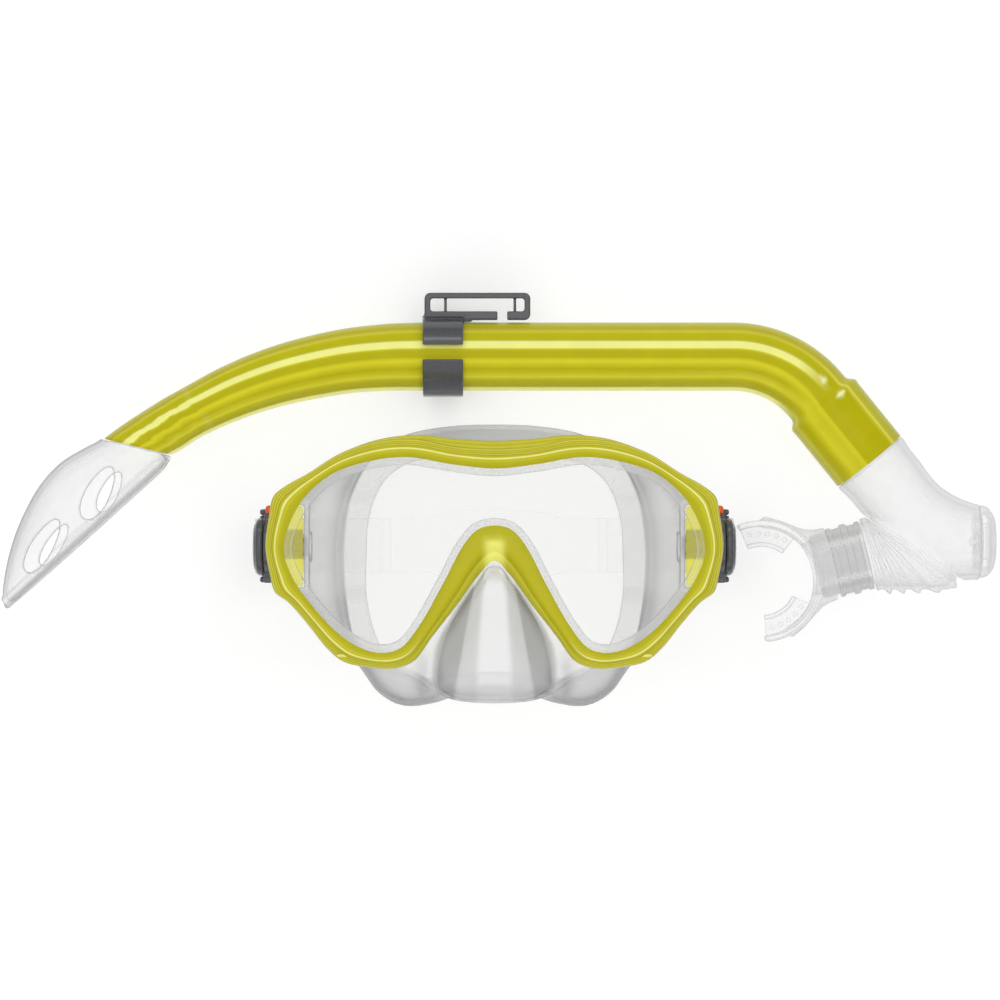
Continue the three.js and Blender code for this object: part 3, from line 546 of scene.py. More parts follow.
def add_node(tree, kind, inputs=None, **settings):
    """A shader node with its settings, and inputs that are values or another node's outputs."""
    made = tree.nodes.new("ShaderNode" + kind)
    for key, value in settings.items():
        setattr(made, key, value)
    for key, value in (inputs or {}).items():
        if isinstance(value, bpy.types.NodeSocket):
            tree.links.new(value, made.inputs[key])
        else:
            made.inputs[key].default_value = value
    return made


def combine(tree, operation, *values, **settings):
    """One step of arithmetic on numbers or sockets."""
    inputs = dict(enumerate(values))
    return add_node(tree, "Math", inputs, operation=operation, **settings).outputs[0]


def rgba(color):
    return (*color, 1.0)


def tone(red, green, blue):
    """A colour written as it looks on a screen, 0 to 255, turned into the shader's linear light."""
    shares = [v / 255 for v in (red, green, blue)]
    return tuple(v / 12.92 if v <= 0.04045 else ((v + 0.055) / 1.055) ** 2.4 for v in shares)


def noise(tree, scale, detail=3.0):
    place = add_node(tree, "TexCoord").outputs["Object"]
    return add_node(tree, "TexNoise", {
        "Vector": place, "Scale": scale, "Detail": detail, "Roughness": 0.5,
    }).outputs["Fac"]


def ranged(tree, value, low, high, out_low, out_high):
    return add_node(tree, "MapRange", {
        "Value": value, "From Min": low, "From Max": high, "To Min": out_low, "To Max": out_high,
    }).outputs["Result"]


def varied(tree, grain, low, high):
    """Noise, spread over a range."""
    return ranged(tree, grain, 0.3, 0.7, low, high)


def scaled(tree, color, share):
    return add_node(tree, "VectorMath", {0: color, "Scale": share}, operation="SCALE").outputs[0]


def bumped(tree, grain, strength, distance):
    return add_node(tree, "Bump", {
        "Strength": strength, "Distance": distance, "Height": grain,
    }).outputs[0]


def mesh_value(tree, key):
    """A named value that make_object stored on the mesh."""
    return add_node(tree, "Attribute", attribute_name=key, attribute_type="GEOMETRY").outputs["Fac"]


def mix_colors(tree, share, first, second):
    first_slot, second_slot = 6, 7
    ends = [v if isinstance(v, bpy.types.NodeSocket) else rgba(v) for v in (first, second)]
    inputs = {0: share, first_slot: ends[0], second_slot: ends[1]}
    return add_node(tree, "Mix", inputs, data_type="RGBA").outputs[2]


def seen_through(tree, share, surface, tint):
    """A surface that covers only a share of what is behind it."""
    through = add_node(tree, "BsdfTransparent", {"Color": rgba(tint)}).outputs[0]
    return add_node(tree, "MixShader", {0: share, 1: through, 2: surface}).outputs[0]


def clear_to_lamps(tree, surface, tint):
    """Lets lamps and soft light through, tinted, so that a clear piece doesn't shade like a solid one."""
    path = add_node(tree, "LightPath").outputs
    soft = combine(tree, "MAXIMUM", path["Is Shadow Ray"], path["Is Diffuse Ray"])
    open_way = add_node(tree, "BsdfTransparent", {"Color": rgba(tint)}).outputs[0]
    mixed = add_node(tree, "MixShader", {0: soft, 1: surface, 2: open_way}).outputs[0]
    add_node(tree, "OutputMaterial", {"Surface": mixed})


def veil(name, color, rim, face, edge, roughness, tint, mottle, scale=25.0, shine=0.4):
    """Clear plastic or silicone: lets the view through face on, and turns milky and grey at its edges.

    color and rim are its colours face on and at a grazing angle, face and edge its cover there.
    A mesh value named shade, where there is one, adds to the rim's colour and the cover: the skirt and
    the splash guard paint shade with it, and the connector paints highlights with values below nothing.
    """
    made, tree = start_material(name)
    facing = add_node(tree, "LayerWeight", {"Blend": 0.35}).outputs["Facing"]
    share = ranged(tree, facing, 0.0, 1.0, face, edge)
    cover = combine(tree, "ADD", share, varied(tree, noise(tree, scale), -mottle, mottle))
    added = mesh_value(tree, "shade")
    total = combine(tree, "MULTIPLY_ADD", added, 0.5, cover, use_clamp=True)
    steep = combine(tree, "POWER", facing, 2.0)
    rimmed = combine(tree, "ADD", steep, added, use_clamp=True)
    body = add_node(tree, "BsdfPrincipled", {
        "Base Color": mix_colors(tree, rimmed, color, rim), "Roughness": roughness, "IOR": 1.42,
        "Specular IOR Level": shine,
    })
    clear_to_lamps(tree, seen_through(tree, total, body.outputs[0], tint), tint)
    return made


def solid_plastic(name, color, roughness, coat=0.0):
    """Moulded opaque plastic with a fine grain."""
    made, tree = start_material(name)
    grain = noise(tree, 900.0, 2.0)
    body = add_node(tree, "BsdfPrincipled", {
        "Base Color": scaled(tree, color, varied(tree, grain, 0.94, 1.06)), "Roughness": roughness,
        "Coat Weight": coat, "Normal": bumped(tree, grain, 0.15, 0.0002),
    })
    add_node(tree, "OutputMaterial", {"Surface": body.outputs[0]})
    return made


def band_ramp(tree, low, high, stops):
    """A colour that runs through stops [value, screen colour] of the mesh value named band."""
    place = ranged(tree, mesh_value(tree, "band"), low, high, 0.0, 1.0)
    made = add_node(tree, "ValToRGB", {"Fac": place})
    marks = made.color_ramp.elements
    for i, (value, color) in enumerate(stops):
        position = (value - low) / (high - low)
        mark = marks[i] if i < 2 else marks.new(position)
        mark.position = position
        mark.color = rgba(tone(*color))
    return made.outputs["Color"]


def painted_band_plastic(name, stops, low, high, painted_light, other=None):
    """Tinted clear plastic with painted reflections: its bands of colour are painted highlights and
    painted shade that stand for lamps mirrored in its wall.

    Where the mesh value named zone is high its bands are the other ones, and the mesh value named
    painted_light turns it to the painted_light colour, a painted highlight.
    """
    made, tree = start_material(name)
    color = band_ramp(tree, low, high, stops)
    if other:
        color = mix_colors(tree, mesh_value(tree, "zone"), color, band_ramp(tree, low, high, other))
    color = mix_colors(tree, mesh_value(tree, "painted_light"), color, tone(*painted_light))
    grain = noise(tree, 140.0)
    roughness = 0.12
    body = add_node(tree, "BsdfPrincipled", {
        "Base Color": scaled(tree, color, varied(tree, grain, 0.97, 1.03)),
        "Roughness": varied(tree, grain, roughness * 0.8, roughness * 1.2),
        "IOR": 1.46, "Specular IOR Level": 0.13, "Normal": bumped(tree, grain, 0.05, 0.0005),
    })
    surface = seen_through(tree, 0.9, body.outputs[0], tone(235, 228, 90))
    clear_to_lamps(tree, surface, tone(253, 253, 248))
    return made


# Colours of the yellow plastic, with painted reflections: light bands are painted highlights, dark bands
# painted shade.
# On the tube and the socket the stops run across from the side by the mask, -1, to the far side, 1.
# On the frame they run from the lens, 0, to the outer edge, 1.
TUBE_PAINTED_BANDS = [
    (-1.0, (238, 235, 130)), (-0.96, (254, 254, 150)), (-0.91, (252, 251, 140)), (-0.88, (182, 177, 34)),
    (-0.79, (183, 176, 32)), (-0.68, (206, 200, 42)), (-0.61, (231, 225, 65)), (-0.50, (211, 202, 42)),
    (-0.38, (194, 187, 18)), (-0.16, (229, 221, 48)), (-0.08, (213, 205, 34)), (-0.04, (191, 184, 8)),
    (0.13, (190, 184, 7)), (0.19, (200, 194, 28)), (0.24, (254, 254, 142)), (0.41, (253, 254, 162)),
    (0.45, (200, 195, 50)), (0.50, (193, 188, 24)), (0.64, (197, 193, 28)), (0.71, (215, 209, 60)),
    (0.80, (187, 177, 40)), (0.90, (197, 191, 44)), (1.0, (190, 189, 96)),
]
SOCKET_PAINTED_BANDS = [
    (-1.0, (200, 196, 90)), (-0.94, (190, 186, 50)), (-0.88, (214, 209, 66)), (-0.80, (190, 184, 30)),
    (-0.70, (196, 190, 26)), (-0.52, (226, 219, 50)), (-0.30, (214, 206, 38)), (-0.16, (224, 216, 46)),
    (-0.10, (192, 185, 8)), (0.60, (190, 184, 7)), (0.66, (206, 201, 50)), (0.70, (234, 228, 96)),
    (0.76, (196, 190, 34)), (0.88, (192, 186, 40)), (1.0, (186, 184, 84)),
]
FRAME_PAINTED_BANDS = [
    (0.0, (200, 196, 70)), (0.08, (190, 184, 34)), (0.26, (197, 191, 36)), (0.36, (212, 206, 52)),
    (0.42, (198, 192, 40)), (0.46, (250, 248, 150)), (0.51, (252, 250, 156)), (0.55, (190, 184, 34)),
    (0.61, (198, 192, 42)), (0.65, (160, 154, 24)), (0.69, (226, 221, 84)), (0.74, (180, 174, 30)),
    (0.80, (214, 209, 66)), (0.85, (184, 178, 34)), (0.91, (226, 221, 88)), (0.95, (184, 178, 38)),
    (1.0, (190, 184, 60)),
]
BROW_PAINTED_BANDS = [
    (0.0, (192, 187, 50)), (0.70, (192, 187, 46)), (0.76, (216, 210, 76)), (0.82, (200, 195, 48)),
    (0.90, (216, 210, 68)), (0.96, (196, 191, 50)), (1.0, (186, 182, 84)),
]
ARCH_PAINTED_BANDS = [
    (0.0, (190, 186, 50)), (0.12, (194, 188, 40)), (0.5, (199, 192, 42)), (0.62, (190, 184, 34)),
    (0.70, (182, 176, 34)), (0.78, (200, 195, 50)), (1.0, (184, 178, 56)),
]
yellow_tube = painted_band_plastic("yellow_tube", TUBE_PAINTED_BANDS, -1, 1, (255, 254, 190), SOCKET_PAINTED_BANDS)
yellow_frame = painted_band_plastic("yellow_frame", FRAME_PAINTED_BANDS, 0, 1, (254, 252, 128), ARCH_PAINTED_BANDS)
yellow_rear = painted_band_plastic("yellow_rear", BROW_PAINTED_BANDS, 0, 1, (255, 250, 60))
clear = veil("clear_plastic", tone(248, 248, 249), tone(118, 118, 120), face=0.1, edge=0.9,
             roughness=0.07, tint=(0.985, 0.985, 0.985), mottle=0.05, scale=40.0, shine=0.6)
lens_look = veil("lens_glass", tone(242, 243, 243), tone(190, 195, 195), face=0.05, edge=0.35,
                 roughness=0.02, tint=(0.97, 0.97, 0.973), mottle=0.0)
silicone = veil("clear_silicone", tone(236, 236, 237), tone(128, 128, 130), face=0.28, edge=0.8,
                roughness=0.25, tint=(0.975, 0.975, 0.975), mottle=0.05, scale=30.0, shine=0.25)
gasket_look = veil("gasket_silicone", tone(248, 248, 249), tone(150, 150, 155), face=0.03, edge=0.75,
                   roughness=0.25, tint=(0.99, 0.99, 0.99), mottle=0.02)
strap_look = veil("strap_silicone", tone(246, 246, 247), tone(225, 225, 227), face=0.01, edge=0.2,
                  roughness=0.3, tint=(0.998, 0.998, 0.998), mottle=0.0, shine=0.15)
soft_clear = veil("mouth_silicone", tone(244, 244, 245), tone(140, 140, 143), face=0.12, edge=0.75,
                  roughness=0.18, tint=(0.985, 0.985, 0.985), mottle=0.04)
band_look = veil("connector_plastic", tone(218, 218, 219), tone(140, 140, 142), face=0.34, edge=0.8,
                 roughness=0.1, tint=(0.96, 0.96, 0.96), mottle=0.02, shine=0.6)
dark = solid_plastic("grey_plastic", tone(74, 75, 79), 0.22, coat=0.3)
orange = solid_plastic("orange_plastic", tone(228, 92, 10), 0.3)

# ---------------------------------------------------------------- mask


def add_lens():
    """A flat plate with a small bevel, just inside the window's line."""
    back, front = LENS_BACK, LENS_FRONT
    normal = normals_of(WINDOW)
    bevel = 0.4
    rows = [(-1.3, back), (-0.8, back), (-0.4, back + bevel), (-0.4, front - bevel), (-0.8, front),
            (-1.3, front)]
    rings = [np.column_stack([WINDOW + normal * out, np.full(len(WINDOW), z)]) for out, z in rows]
    part = skin_rings(rings)
    made = make_object("lens_plate", part, lens_look, "mask", ["lens"])
    for polygon in made.data.polygons:
        if polygon.loop_total > 4:
            polygon.use_smooth = False


PROFILE_WIDTH = 8.0    # the frame's usual width, which turns its profile's shares into millimetres


def frame_profile(rows, radius):
    """A rounded profile for band_ring, from rows [share of the width, mm further out, height]."""
    smooth = rounded_profile([(share * PROFILE_WIDTH, out, z) for share, out, z in rows], radius)
    smooth[:, 0] /= PROFILE_WIDTH
    return smooth


FRAME_ROOM = GASKET + GAP      # the frame's rings stand off the lens by the gasket


def add_bezel():
    """The front ring, with a small snap boss at each cheek and at each brow corner."""
    low = SEAM + GAP
    step = LENS_FRONT + 1.9
    room = FRAME_ROOM
    top = BEZEL_FRONT
    bezel = frame_profile([
        (0, room, low), (0, room, step), (0, 0, step), (0, 0, top - 1.2), (0.14, 0, top - 0.5),
        (0.42, 0, top), (0.60, 0, top - 0.4), (0.70, 0, top - 1.3), (0.74, 0, top - 1.9),
        (0.82, 0, top - 1.7), (0.93, 0, top - 2.4), (1, 0, top - 4), (1, 0, low),
    ], 0.5)
    part = band_ring(WINDOW, BEZEL_EDGE, bezel)
    snaps = []
    for side in (-1, 1):
        snaps.append(rod((side * 54.2, -38.7, top - 4), (0, 0, 1), 2.9, 2.2, 1.2))
        snaps.append(rod((side * 76.4, 18.6, top - 6), (0, 0, 1), 3.0, 1.6, 0.8))
    band = np.tile(bezel[:, 0], len(WINDOW))
    # The snap bosses take the frame's painted highlight band.
    snap_band = [0.52 + 0.1 * (p[0][:, 1] - p[0][:, 1].mean()) for p in snaps]
    band = np.concatenate([band, *snap_band])
    part = merged(part, *snaps)
    points = part[0]
    x, y = points[:, 0], points[:, 1]
    # A painted highlight on the nose arch's top. Where zone is high, on the arch's sides, the arch's own
    # painted bands, without that highlight, take over.
    painted_light = np.exp(-(x / 3.6) ** 4) * ramp(-y, -3.4, -1.4) * (y > -12)
    zone = ramp(-np.abs(x), -34, -26) * ramp(-y, -12, -8)
    make_object("bezel_ring", part, yellow_frame, "mask", ["front_bezel"],
                {"band": band, "painted_light": painted_light, "zone": zone})


def add_rear_frame():
    """The back ring with its two lugs. Each lug has painted light, brightest away from its boss."""
    room = FRAME_ROOM
    rear = frame_profile([
        (0, room, FRAME_BACK), (0, room, SEAM), (0.72, 0, SEAM), (0.78, 0, SEAM - 0.9),
        (0.84, 0, SEAM - 0.9), (0.90, 0, SEAM - 0.3), (1, 0, SEAM - 1.4), (1, 0, FRAME_BACK),
    ], 0.4)
    part = band_ring(WINDOW, FRAME_EDGE, rear)
    lug = field_skin(lug_field, (68.2, -15.6, 20), (80.6, 15.6, 38.6), 0.42)
    other = mirror(lug, -1)
    off_boss = np.abs(lug[0][:, 1] - PIN_Y - 1)
    # Painted light: the lug turns bright yellow away from its boss.
    lug_painted_light = 0.85 * ramp(off_boss, 5.0, 5.6)
    ring_count = len(WINDOW) * len(rear)
    band = np.concatenate([np.tile(rear[:, 0], len(WINDOW)), np.full(2 * len(lug[0]), 0.5)])
    painted_light = np.concatenate([np.zeros(ring_count), lug_painted_light, lug_painted_light])
    part = merged(part, lug, other)
    make_object("rear_ring", part, yellow_rear, "mask", ["rear_frame"],
                {"band": band, "painted_light": painted_light})


def lug_field(x, y, z):
    """A lug: a shelf under the frame, an outer wall, and a boss for the swivel pin."""
    top = FRAME_BACK - 0.05
    middle = (LUG_INNER + LUG_OUTER) / 2
    half_length = (LUG_OUTER - LUG_INNER) / 2
    boss_radius = 5.2
    web_half = 1.5
    shelf = block(x, y, z, (LUG_INNER, -LUG_HALF, 35.2), (LUG_OUTER, LUG_HALF, top), 0.5)
    wall = block(x, y, z, (LUG_OUTER - 2.4, -12.5, 21), (LUG_OUTER, 11, top), 0.5)
    web = block(x, y, z, (LUG_INNER, PIN_Y - web_half, PIN_Z), (LUG_OUTER, PIN_Y + web_half, top), 0.3)
    out = np.hypot(y - PIN_Y, z - PIN_Z)
    boss = smooth_max(out - boss_radius, np.abs(x - middle) - half_length, 0.5)
    whole_lug = smooth_min(smooth_min(shelf, wall, 1.0), smooth_min(web, boss, 1.0), 1.0)
    return smooth_max(whole_lug, PIN_BORE - out, 0.3)


def add_gasket():
    """The part of the skirt that grips the lens: a ring with a groove and a thin front lip."""
    back = 36.2
    step = LENS_FRONT + GAP
    under = LENS_BACK - GAP
    lip_front = LENS_FRONT + 1.45
    groove = -0.1
    profile = rounded_profile([
        (GASKET, back), (GASKET, lip_front + 0.1), (-LIP + 0.5, lip_front), (-LIP, LENS_FRONT + 0.9),
        (-LIP, step), (groove, step), (groove, under), (-LIP, under), (-LIP, back),
    ], 0.3)
    part = edge_ring(WINDOW, profile)
    make_object("lens_gasket", part, gasket_look, "mask", ["skirt"])


# The skirt's wall runs from its rear outline to its front outline: the share of the way at each height.
SHARES = [0, 0.12, 0.45, 0.8, 1]
SHARE_HEIGHTS = [0, 0.2, 0.5, 0.8, 1]
LAYERS = 9
front_line = spread(SKIRT_FRONT, 160)
rear_line = spread(SKIRT_REAR, 160)
cup_plan = plan_table([rear_line + (front_line - rear_line) * s for s in np.linspace(0, 1, LAYERS)])
window_plan = plan_table([WINDOW])
seal_plan = plan_table([spread(SEAL_LINE, 160)])
STRAP_ARCH = 4.0


def arch(y):
    """How far the face seal rises over the strap."""
    t = ramp(np.abs(y), 13.5, 22)
    return STRAP_ARCH * (1 - t * t * (3 - 2 * t))


def cup(x, y, z, inset, low, high):
    """The skirt without its nose pocket, as a solid between two heights, inset from its outside."""
    rise = arch(y)
    height = np.clip((z - low - rise) / (high - low - rise), 0, 1)
    share = np.interp(height, SHARE_HEIGHTS, SHARES)
    wall = look_up(cup_plan, x, y, share * (LAYERS - 1)) + inset
    return smooth_max(smooth_max(wall, z - high, 0.8), low + rise - z, 0.8)


def pocket_planes():
    """The nose pocket's faces [normal, offset]: a wedge, wide at its root, with a narrow front ridge."""
    root = 35.4
    half = [(1.5, -7, root), (8.5, -17, root), (16, -27.5, root), (21, -37, root), (21.8, -51, root),
            (14, -55.5, root), (3, -8, 45), (17.5, -49, 46), (13.6, -53.5, 47), (4.4, -12, 51.5),
            (5.6, -30, 56.6), (6.4, -50, 58), (6.4, -54.4, 54)]
    corners = [Vector((side * x, y, z)) for x, y, z in half for side in (1, -1)]
    middle = sum(corners, Vector()) / len(corners)
    planes = []
    for a, b, c in itertools.combinations(corners, 3):
        normal = (b - a).cross(c - a)
        if normal.length < 1e-6:
            continue
        normal.normalize()
        if normal.dot(a - middle) < 0:
            normal = -normal
        offset = normal.dot(a)
        if all(normal.dot(p) < offset + 0.02 for p in corners):
            if all((normal - Vector(q[:3])).length > 0.02 for q in planes):
                planes.append((*normal, offset))
    return planes


POCKET = pocket_planes()
POCKET_SHARPNESS = 2.2         # how closely the pocket's surface keeps to its flat faces, per millimetre
POCKET_SWELL = 0.25


def pocket(x, y, z, inset, based=True):
    """The nose pocket with soft edges. Without its base it runs on down."""
    planes = [p for p in POCKET if based or p[2] > -0.9]
    values = [x * a + y * b + z * c - d for a, b, c, d in planes]
    highest = np.maximum.reduce(values)
    total = sum(np.exp(POCKET_SHARPNESS * (value - highest)) for value in values)
    return highest + np.log(total) / POCKET_SHARPNESS - POCKET_SWELL + inset


def lug_space(x, y, z, room):
    """The room that the skirt leaves for a lug, and for the pin's head past the lug's end."""
    side = LUG_HALF + room
    top = FRAME_BACK + 0.5 + room
    shelf = LUG_INNER - room - np.abs(x)
    head_end = LUG_INNER - 1 - room - np.abs(x)
    head = np.maximum(head_end, np.hypot(y - PIN_Y, z - PIN_Z) - PIN_HEAD - 0.15 - room)
    return np.maximum(np.maximum(np.minimum(shelf, head), np.abs(y) - side), z - top)


def skirt_field(x, y, z):
    """The skirt's wall: its outside less the hollow for the face, and less the room for the lugs."""
    seal = 2.2
    plate_back = PLATE_TOP - SILICONE
    outer = smooth_min(cup(x, y, z, 0, 0, PLATE_TOP), pocket(x, y, z, 0), 1.5)
    mouth = np.maximum(look_up(seal_plan, x, y, 0), z - arch(y) - seal - 0.6)
    nose = np.maximum(pocket(x, y, z, SILICONE, based=False), 30 - z)
    hole = np.maximum(look_up(window_plan, x, y, 0) + LIP, plate_back - 1 - z)
    hollow = smooth_min(cup(x, y, z, SILICONE, seal, plate_back), mouth, 0.8)
    hollow = smooth_min(smooth_min(hollow, nose, 1.0), hole, 0.5)
    lined = smooth_max(hollow, -lug_space(x, y, z, GAP + SILICONE), 1.0)
    return smooth_max(smooth_max(outer, -lined, 0.5), -lug_space(x, y, z, GAP), 1.0)


def skirt_painted_shade(x, y, z):
    """Painted shade: how much greyer the silicone is made by the fold, beside the lugs, on the nose's
    sides, at the lobes' rims, in the creases and under the brow.
    """
    side = np.abs(x)
    down = -y
    inward = -look_up(cup_plan, x, y, 0.0)
    rise = z - arch(y)
    fold = 0.62 * ramp(18 - z, 0, 14) * ramp(rise, 3, 4.5) * ramp(side, 26, 31) * ramp(y, -46, -36)
    root = 0.3 * ramp(z, 24, 32) * ramp(side, 48, 53)
    ridge = np.interp(down, [10, 55], [3.2, 6.2])
    flank = np.interp(down, [15, 55], [7.0, 14.2])
    on_nose = ramp(-np.abs(pocket(x, y, z, 0)), -1.6, -0.8) * ramp(z, 10, 15) * ramp(down, 5, 8)
    nose = 0.22 * ramp(side - ridge, 0, 0.7) + 0.36 * ramp(side - flank, 0, 0.9)
    lobe = 0.7 * bell(inward, 0, 3.8) * ramp(down, 32, 39) * ramp(side, 13, 17)
    crease = 0.35 * bell(side, 26, 3.0) * ramp(down, 36, 43) * (1 - on_nose)
    brow = 0.16 * ramp(y, 34, 37)
    return np.maximum.reduce([fold, root, nose * on_nose, lobe, crease, brow])


def add_skirt():
    part = field_skin(skirt_field, (-80, -60.5, -1), (80, 46, 59.5), 0.85)
    make_object("skirt_body", part, silicone, "mask", ["skirt"],
                {"shade": skirt_painted_shade(*part[0].T)})


# ---------------------------------------------------------------- strap and buckles

STRAP_HALF_WIDTH = 10.0
STRAP_THICKNESS = 1.5
ROLLER_X = 83.6
ROLLER_Z = 16.0
ROLLER_RADIUS = 2.0
STRAP_SPLIT = 42.0     # the strap's middle rides with the mask, and its two ends are separate pieces from here out


def arc(cx, cz, radius, start, end, steps=14):
    angles = np.radians(np.linspace(start, end, steps))
    return [(cx + radius * math.cos(a), cz + radius * math.sin(a)) for a in angles]


def ribbon(path, half_width):
    """A strap with rounded edges along a line in X and Z."""
    path = spread(path, max(12, int(len(path) * 1.2)), closed=False)
    along = np.gradient(path, axis=0)
    along /= np.linalg.norm(along, axis=1, keepdims=True)
    normal = np.stack([-along[:, 1], along[:, 0]], 1)
    corners = [(-1, -1), (1, -1), (1, 1), (-1, 1)]
    t = STRAP_THICKNESS / 2
    section = rounded_profile([(a * half_width, b * t) for a, b in corners], 0.6, 3)
    rings = []
    for (px, pz), (nx, nz) in zip(path, normal):
        rings.append(np.column_stack([px + nx * section[:, 1], section[:, 0], pz + nz * section[:, 1]]))
    return skin_rings(rings)


def add_strap():
    """Each end lies flat, bends up, wraps its roller and comes back over itself to the middle."""
    half = STRAP_THICKNESS / 2
    wrap = ROLLER_RADIUS + GAP + half
    upper = half + STRAP_THICKNESS + GAP
    bend = 6.0
    inner = 5.0
    end = [(38, half), (60, half), (ROLLER_X + wrap - bend, half)]
    end += arc(ROLLER_X + wrap - bend, half + bend, bend, -90, 0)
    end += arc(ROLLER_X, ROLLER_Z, wrap, 0, 180)
    end += arc(ROLLER_X - wrap - inner, upper + inner, inner, 0, -90)
    end += [(60, upper), (STRAP_SPLIT, upper)]
    end = spread(end, 110, closed=False)
    for side, name in ((1, "right"), (-1, "left")):
        part = mirror(ribbon(end, STRAP_HALF_WIDTH), side)
        outside = 0.5 * ramp(np.abs(part[0][:, 0]), 56, 72)
        made = make_object(f"strap_{name}", part, strap_look, None, ["strap"],
                           {"shade": outside})
        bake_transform(made)
    rings = []
    for x in np.linspace(-STRAP_SPLIT + GAP, STRAP_SPLIT - GAP, 61):
        lift = np.interp(abs(x), [27.5, 34.5], [half, upper])
        pad = 4 * max(0.0, 1 - (abs(x) / 25) ** 2)
        wide = STRAP_HALF_WIDTH + pad
        section = rounded_profile([(-wide, -half), (wide, -half), (wide, half), (-wide, half)], 0.6, 3)
        rings.append(np.column_stack([np.full(len(section), x), section[:, 0], lift + section[:, 1]]))
    part = skin_rings(rings)
    make_object("strap_middle", part, strap_look, "mask", ["strap"])


def mirror(part, side):
    """A part drawn for the +X side, on the side given as +1 or -1."""
    points, faces, *normals = part
    return outward(points * [side, 1, 1], faces, *(n * [side, 1, 1] for n in normals))


PLATE_X = (79.9, 83.6)               # back and front of a buckle's base plate
BUCKLE_HALF = 13.3
CHEEK = 2.1                          # thickness of the two cheeks that hold the roller
ROLLER_END = 1.2                     # radius of the roller's ends in the cheeks


def buckle_body_field(x, y, z):
    """The base plate with a domed top, its two cheeks, the pin hole and the release notch."""
    low = 21.2
    thick = np.abs(x - sum(PLATE_X) / 2) - (PLATE_X[1] - PLATE_X[0]) / 2
    flat = np.maximum(np.maximum(np.abs(y) - BUCKLE_HALF, z - 31), low - z)
    dome = np.maximum(np.hypot(y - PIN_Y, z - (PIN_Z - 0.6)) - 9.4, low - z)
    plate = smooth_max(smooth_min(flat, dome, 2.5), thick, 0.9)
    cheek_start = (PLATE_X[0], BUCKLE_HALF - CHEEK, 12)
    cheek = block(x, np.abs(y), z, cheek_start, (85.3, BUCKLE_HALF, low + 2), 0.7)
    body = smooth_min(plate, cheek, 0.8)
    body = smooth_max(body, PIN_BORE - np.hypot(y - PIN_Y, z - PIN_Z), 0.4)
    body = smooth_max(body, ROLLER_END + GAP - np.hypot(x - ROLLER_X, z - ROLLER_Z), 0.3)
    notch = block(x, y, z, (70, 9.4, 24.1), (95, 20, 30.9), 0.3)
    return smooth_max(body, -notch, 0.4)


def buckle_cap():
    """A shallow dome with a raised rim line and a hollow back over the pin's head."""
    start = PLATE_X[1] + GAP
    rows = [(0.0, 0.60), (0.0, 0.97), (0.25, 1.0), (1.3, 1.0), (1.75, 0.985), (2.2, 0.95), (2.5, 0.90),
            (2.62, 0.86), (2.8, 0.84), (3.2, 0.76), (3.5, 0.62), (3.65, 0.42), (3.7, 0.2), (3.7, 0.04)]
    hollow = [(1.9, 0.04), (1.9, 0.5), (1.75, 0.55)]
    around = np.cos(turns_of(72)), np.sin(turns_of(72))
    wide, tall = (np.sign(v) * np.abs(v) ** 0.85 for v in around)
    rings = []
    for out, scale in hollow + rows:
        y = PIN_Y + 10.4 * scale * wide
        z = PIN_Z - 0.8 + 8.2 * scale * tall
        rings.append(np.column_stack([np.full(len(y), start + out), y, z]))
    return skin_rings(rings)


def button_field(x, y, z):
    """The small release piece, with rounded sides and three grip lines."""
    low = 24.4
    pitch = 1.5
    body = block(x, y, z, (80.2, 11.4, low), (83.0, 14.7, 30.2), 1.1)
    from_line = np.mod(z - low + pitch / 2, pitch) - pitch / 2
    lines = np.hypot(y - 15.1, from_line) - 0.35
    return smooth_max(body, -lines, 0.2)


def add_buckles():
    body = field_skin(buckle_body_field, (79, -14, 11), (88.4, 14, 39), 0.45)
    button = field_skin(button_field, (79.5, 10.8, 23.8), (84, 15.8, 31.2), 0.25)
    along_x = (1, 0, 0)
    along_y = (0, 1, 0)
    pin = merged(rod((68.3, PIN_Y, PIN_Z), along_x, 16.6, PIN_HEAD, 0.6),
                 rod((PLATE_X[1] + GAP, PIN_Y, PIN_Z), along_x, 1.3, 4.8, 0.3))
    half = BUCKLE_HALF - CHEEK - GAP
    tip = CHEEK - 0.2
    roller = merged(rod((ROLLER_X, -half, ROLLER_Z), along_y, 2 * half, ROLLER_RADIUS, 0.3),
                    rod((ROLLER_X, -half - tip, ROLLER_Z), along_y, 2 * (half + tip), ROLLER_END, 0.2))
    for side, name in ((1, "right"), (-1, "left")):
        for piece, part, ride, node in (
            (f"buckle_plate_{name}", body, f"buckle_{name}", "buckle_body"),
            (f"buckle_cover_{name}", buckle_cap(), f"buckle_{name}", "buckle_cap"),
            (f"pivot_{name}", pin, "mask", "swivel_pin"),
            (f"roller_{name}_bar", roller, f"roller_{name}", "strap_roller"),
        ):
            make_object(piece, mirror(part, side), dark, ride, [f"{node}_{name}"])
        make_object(f"release_{name}_pad", mirror(button, side), orange, f"release_{name}",
                    [f"release_button_{name}"])


# ---------------------------------------------------------------- barrel

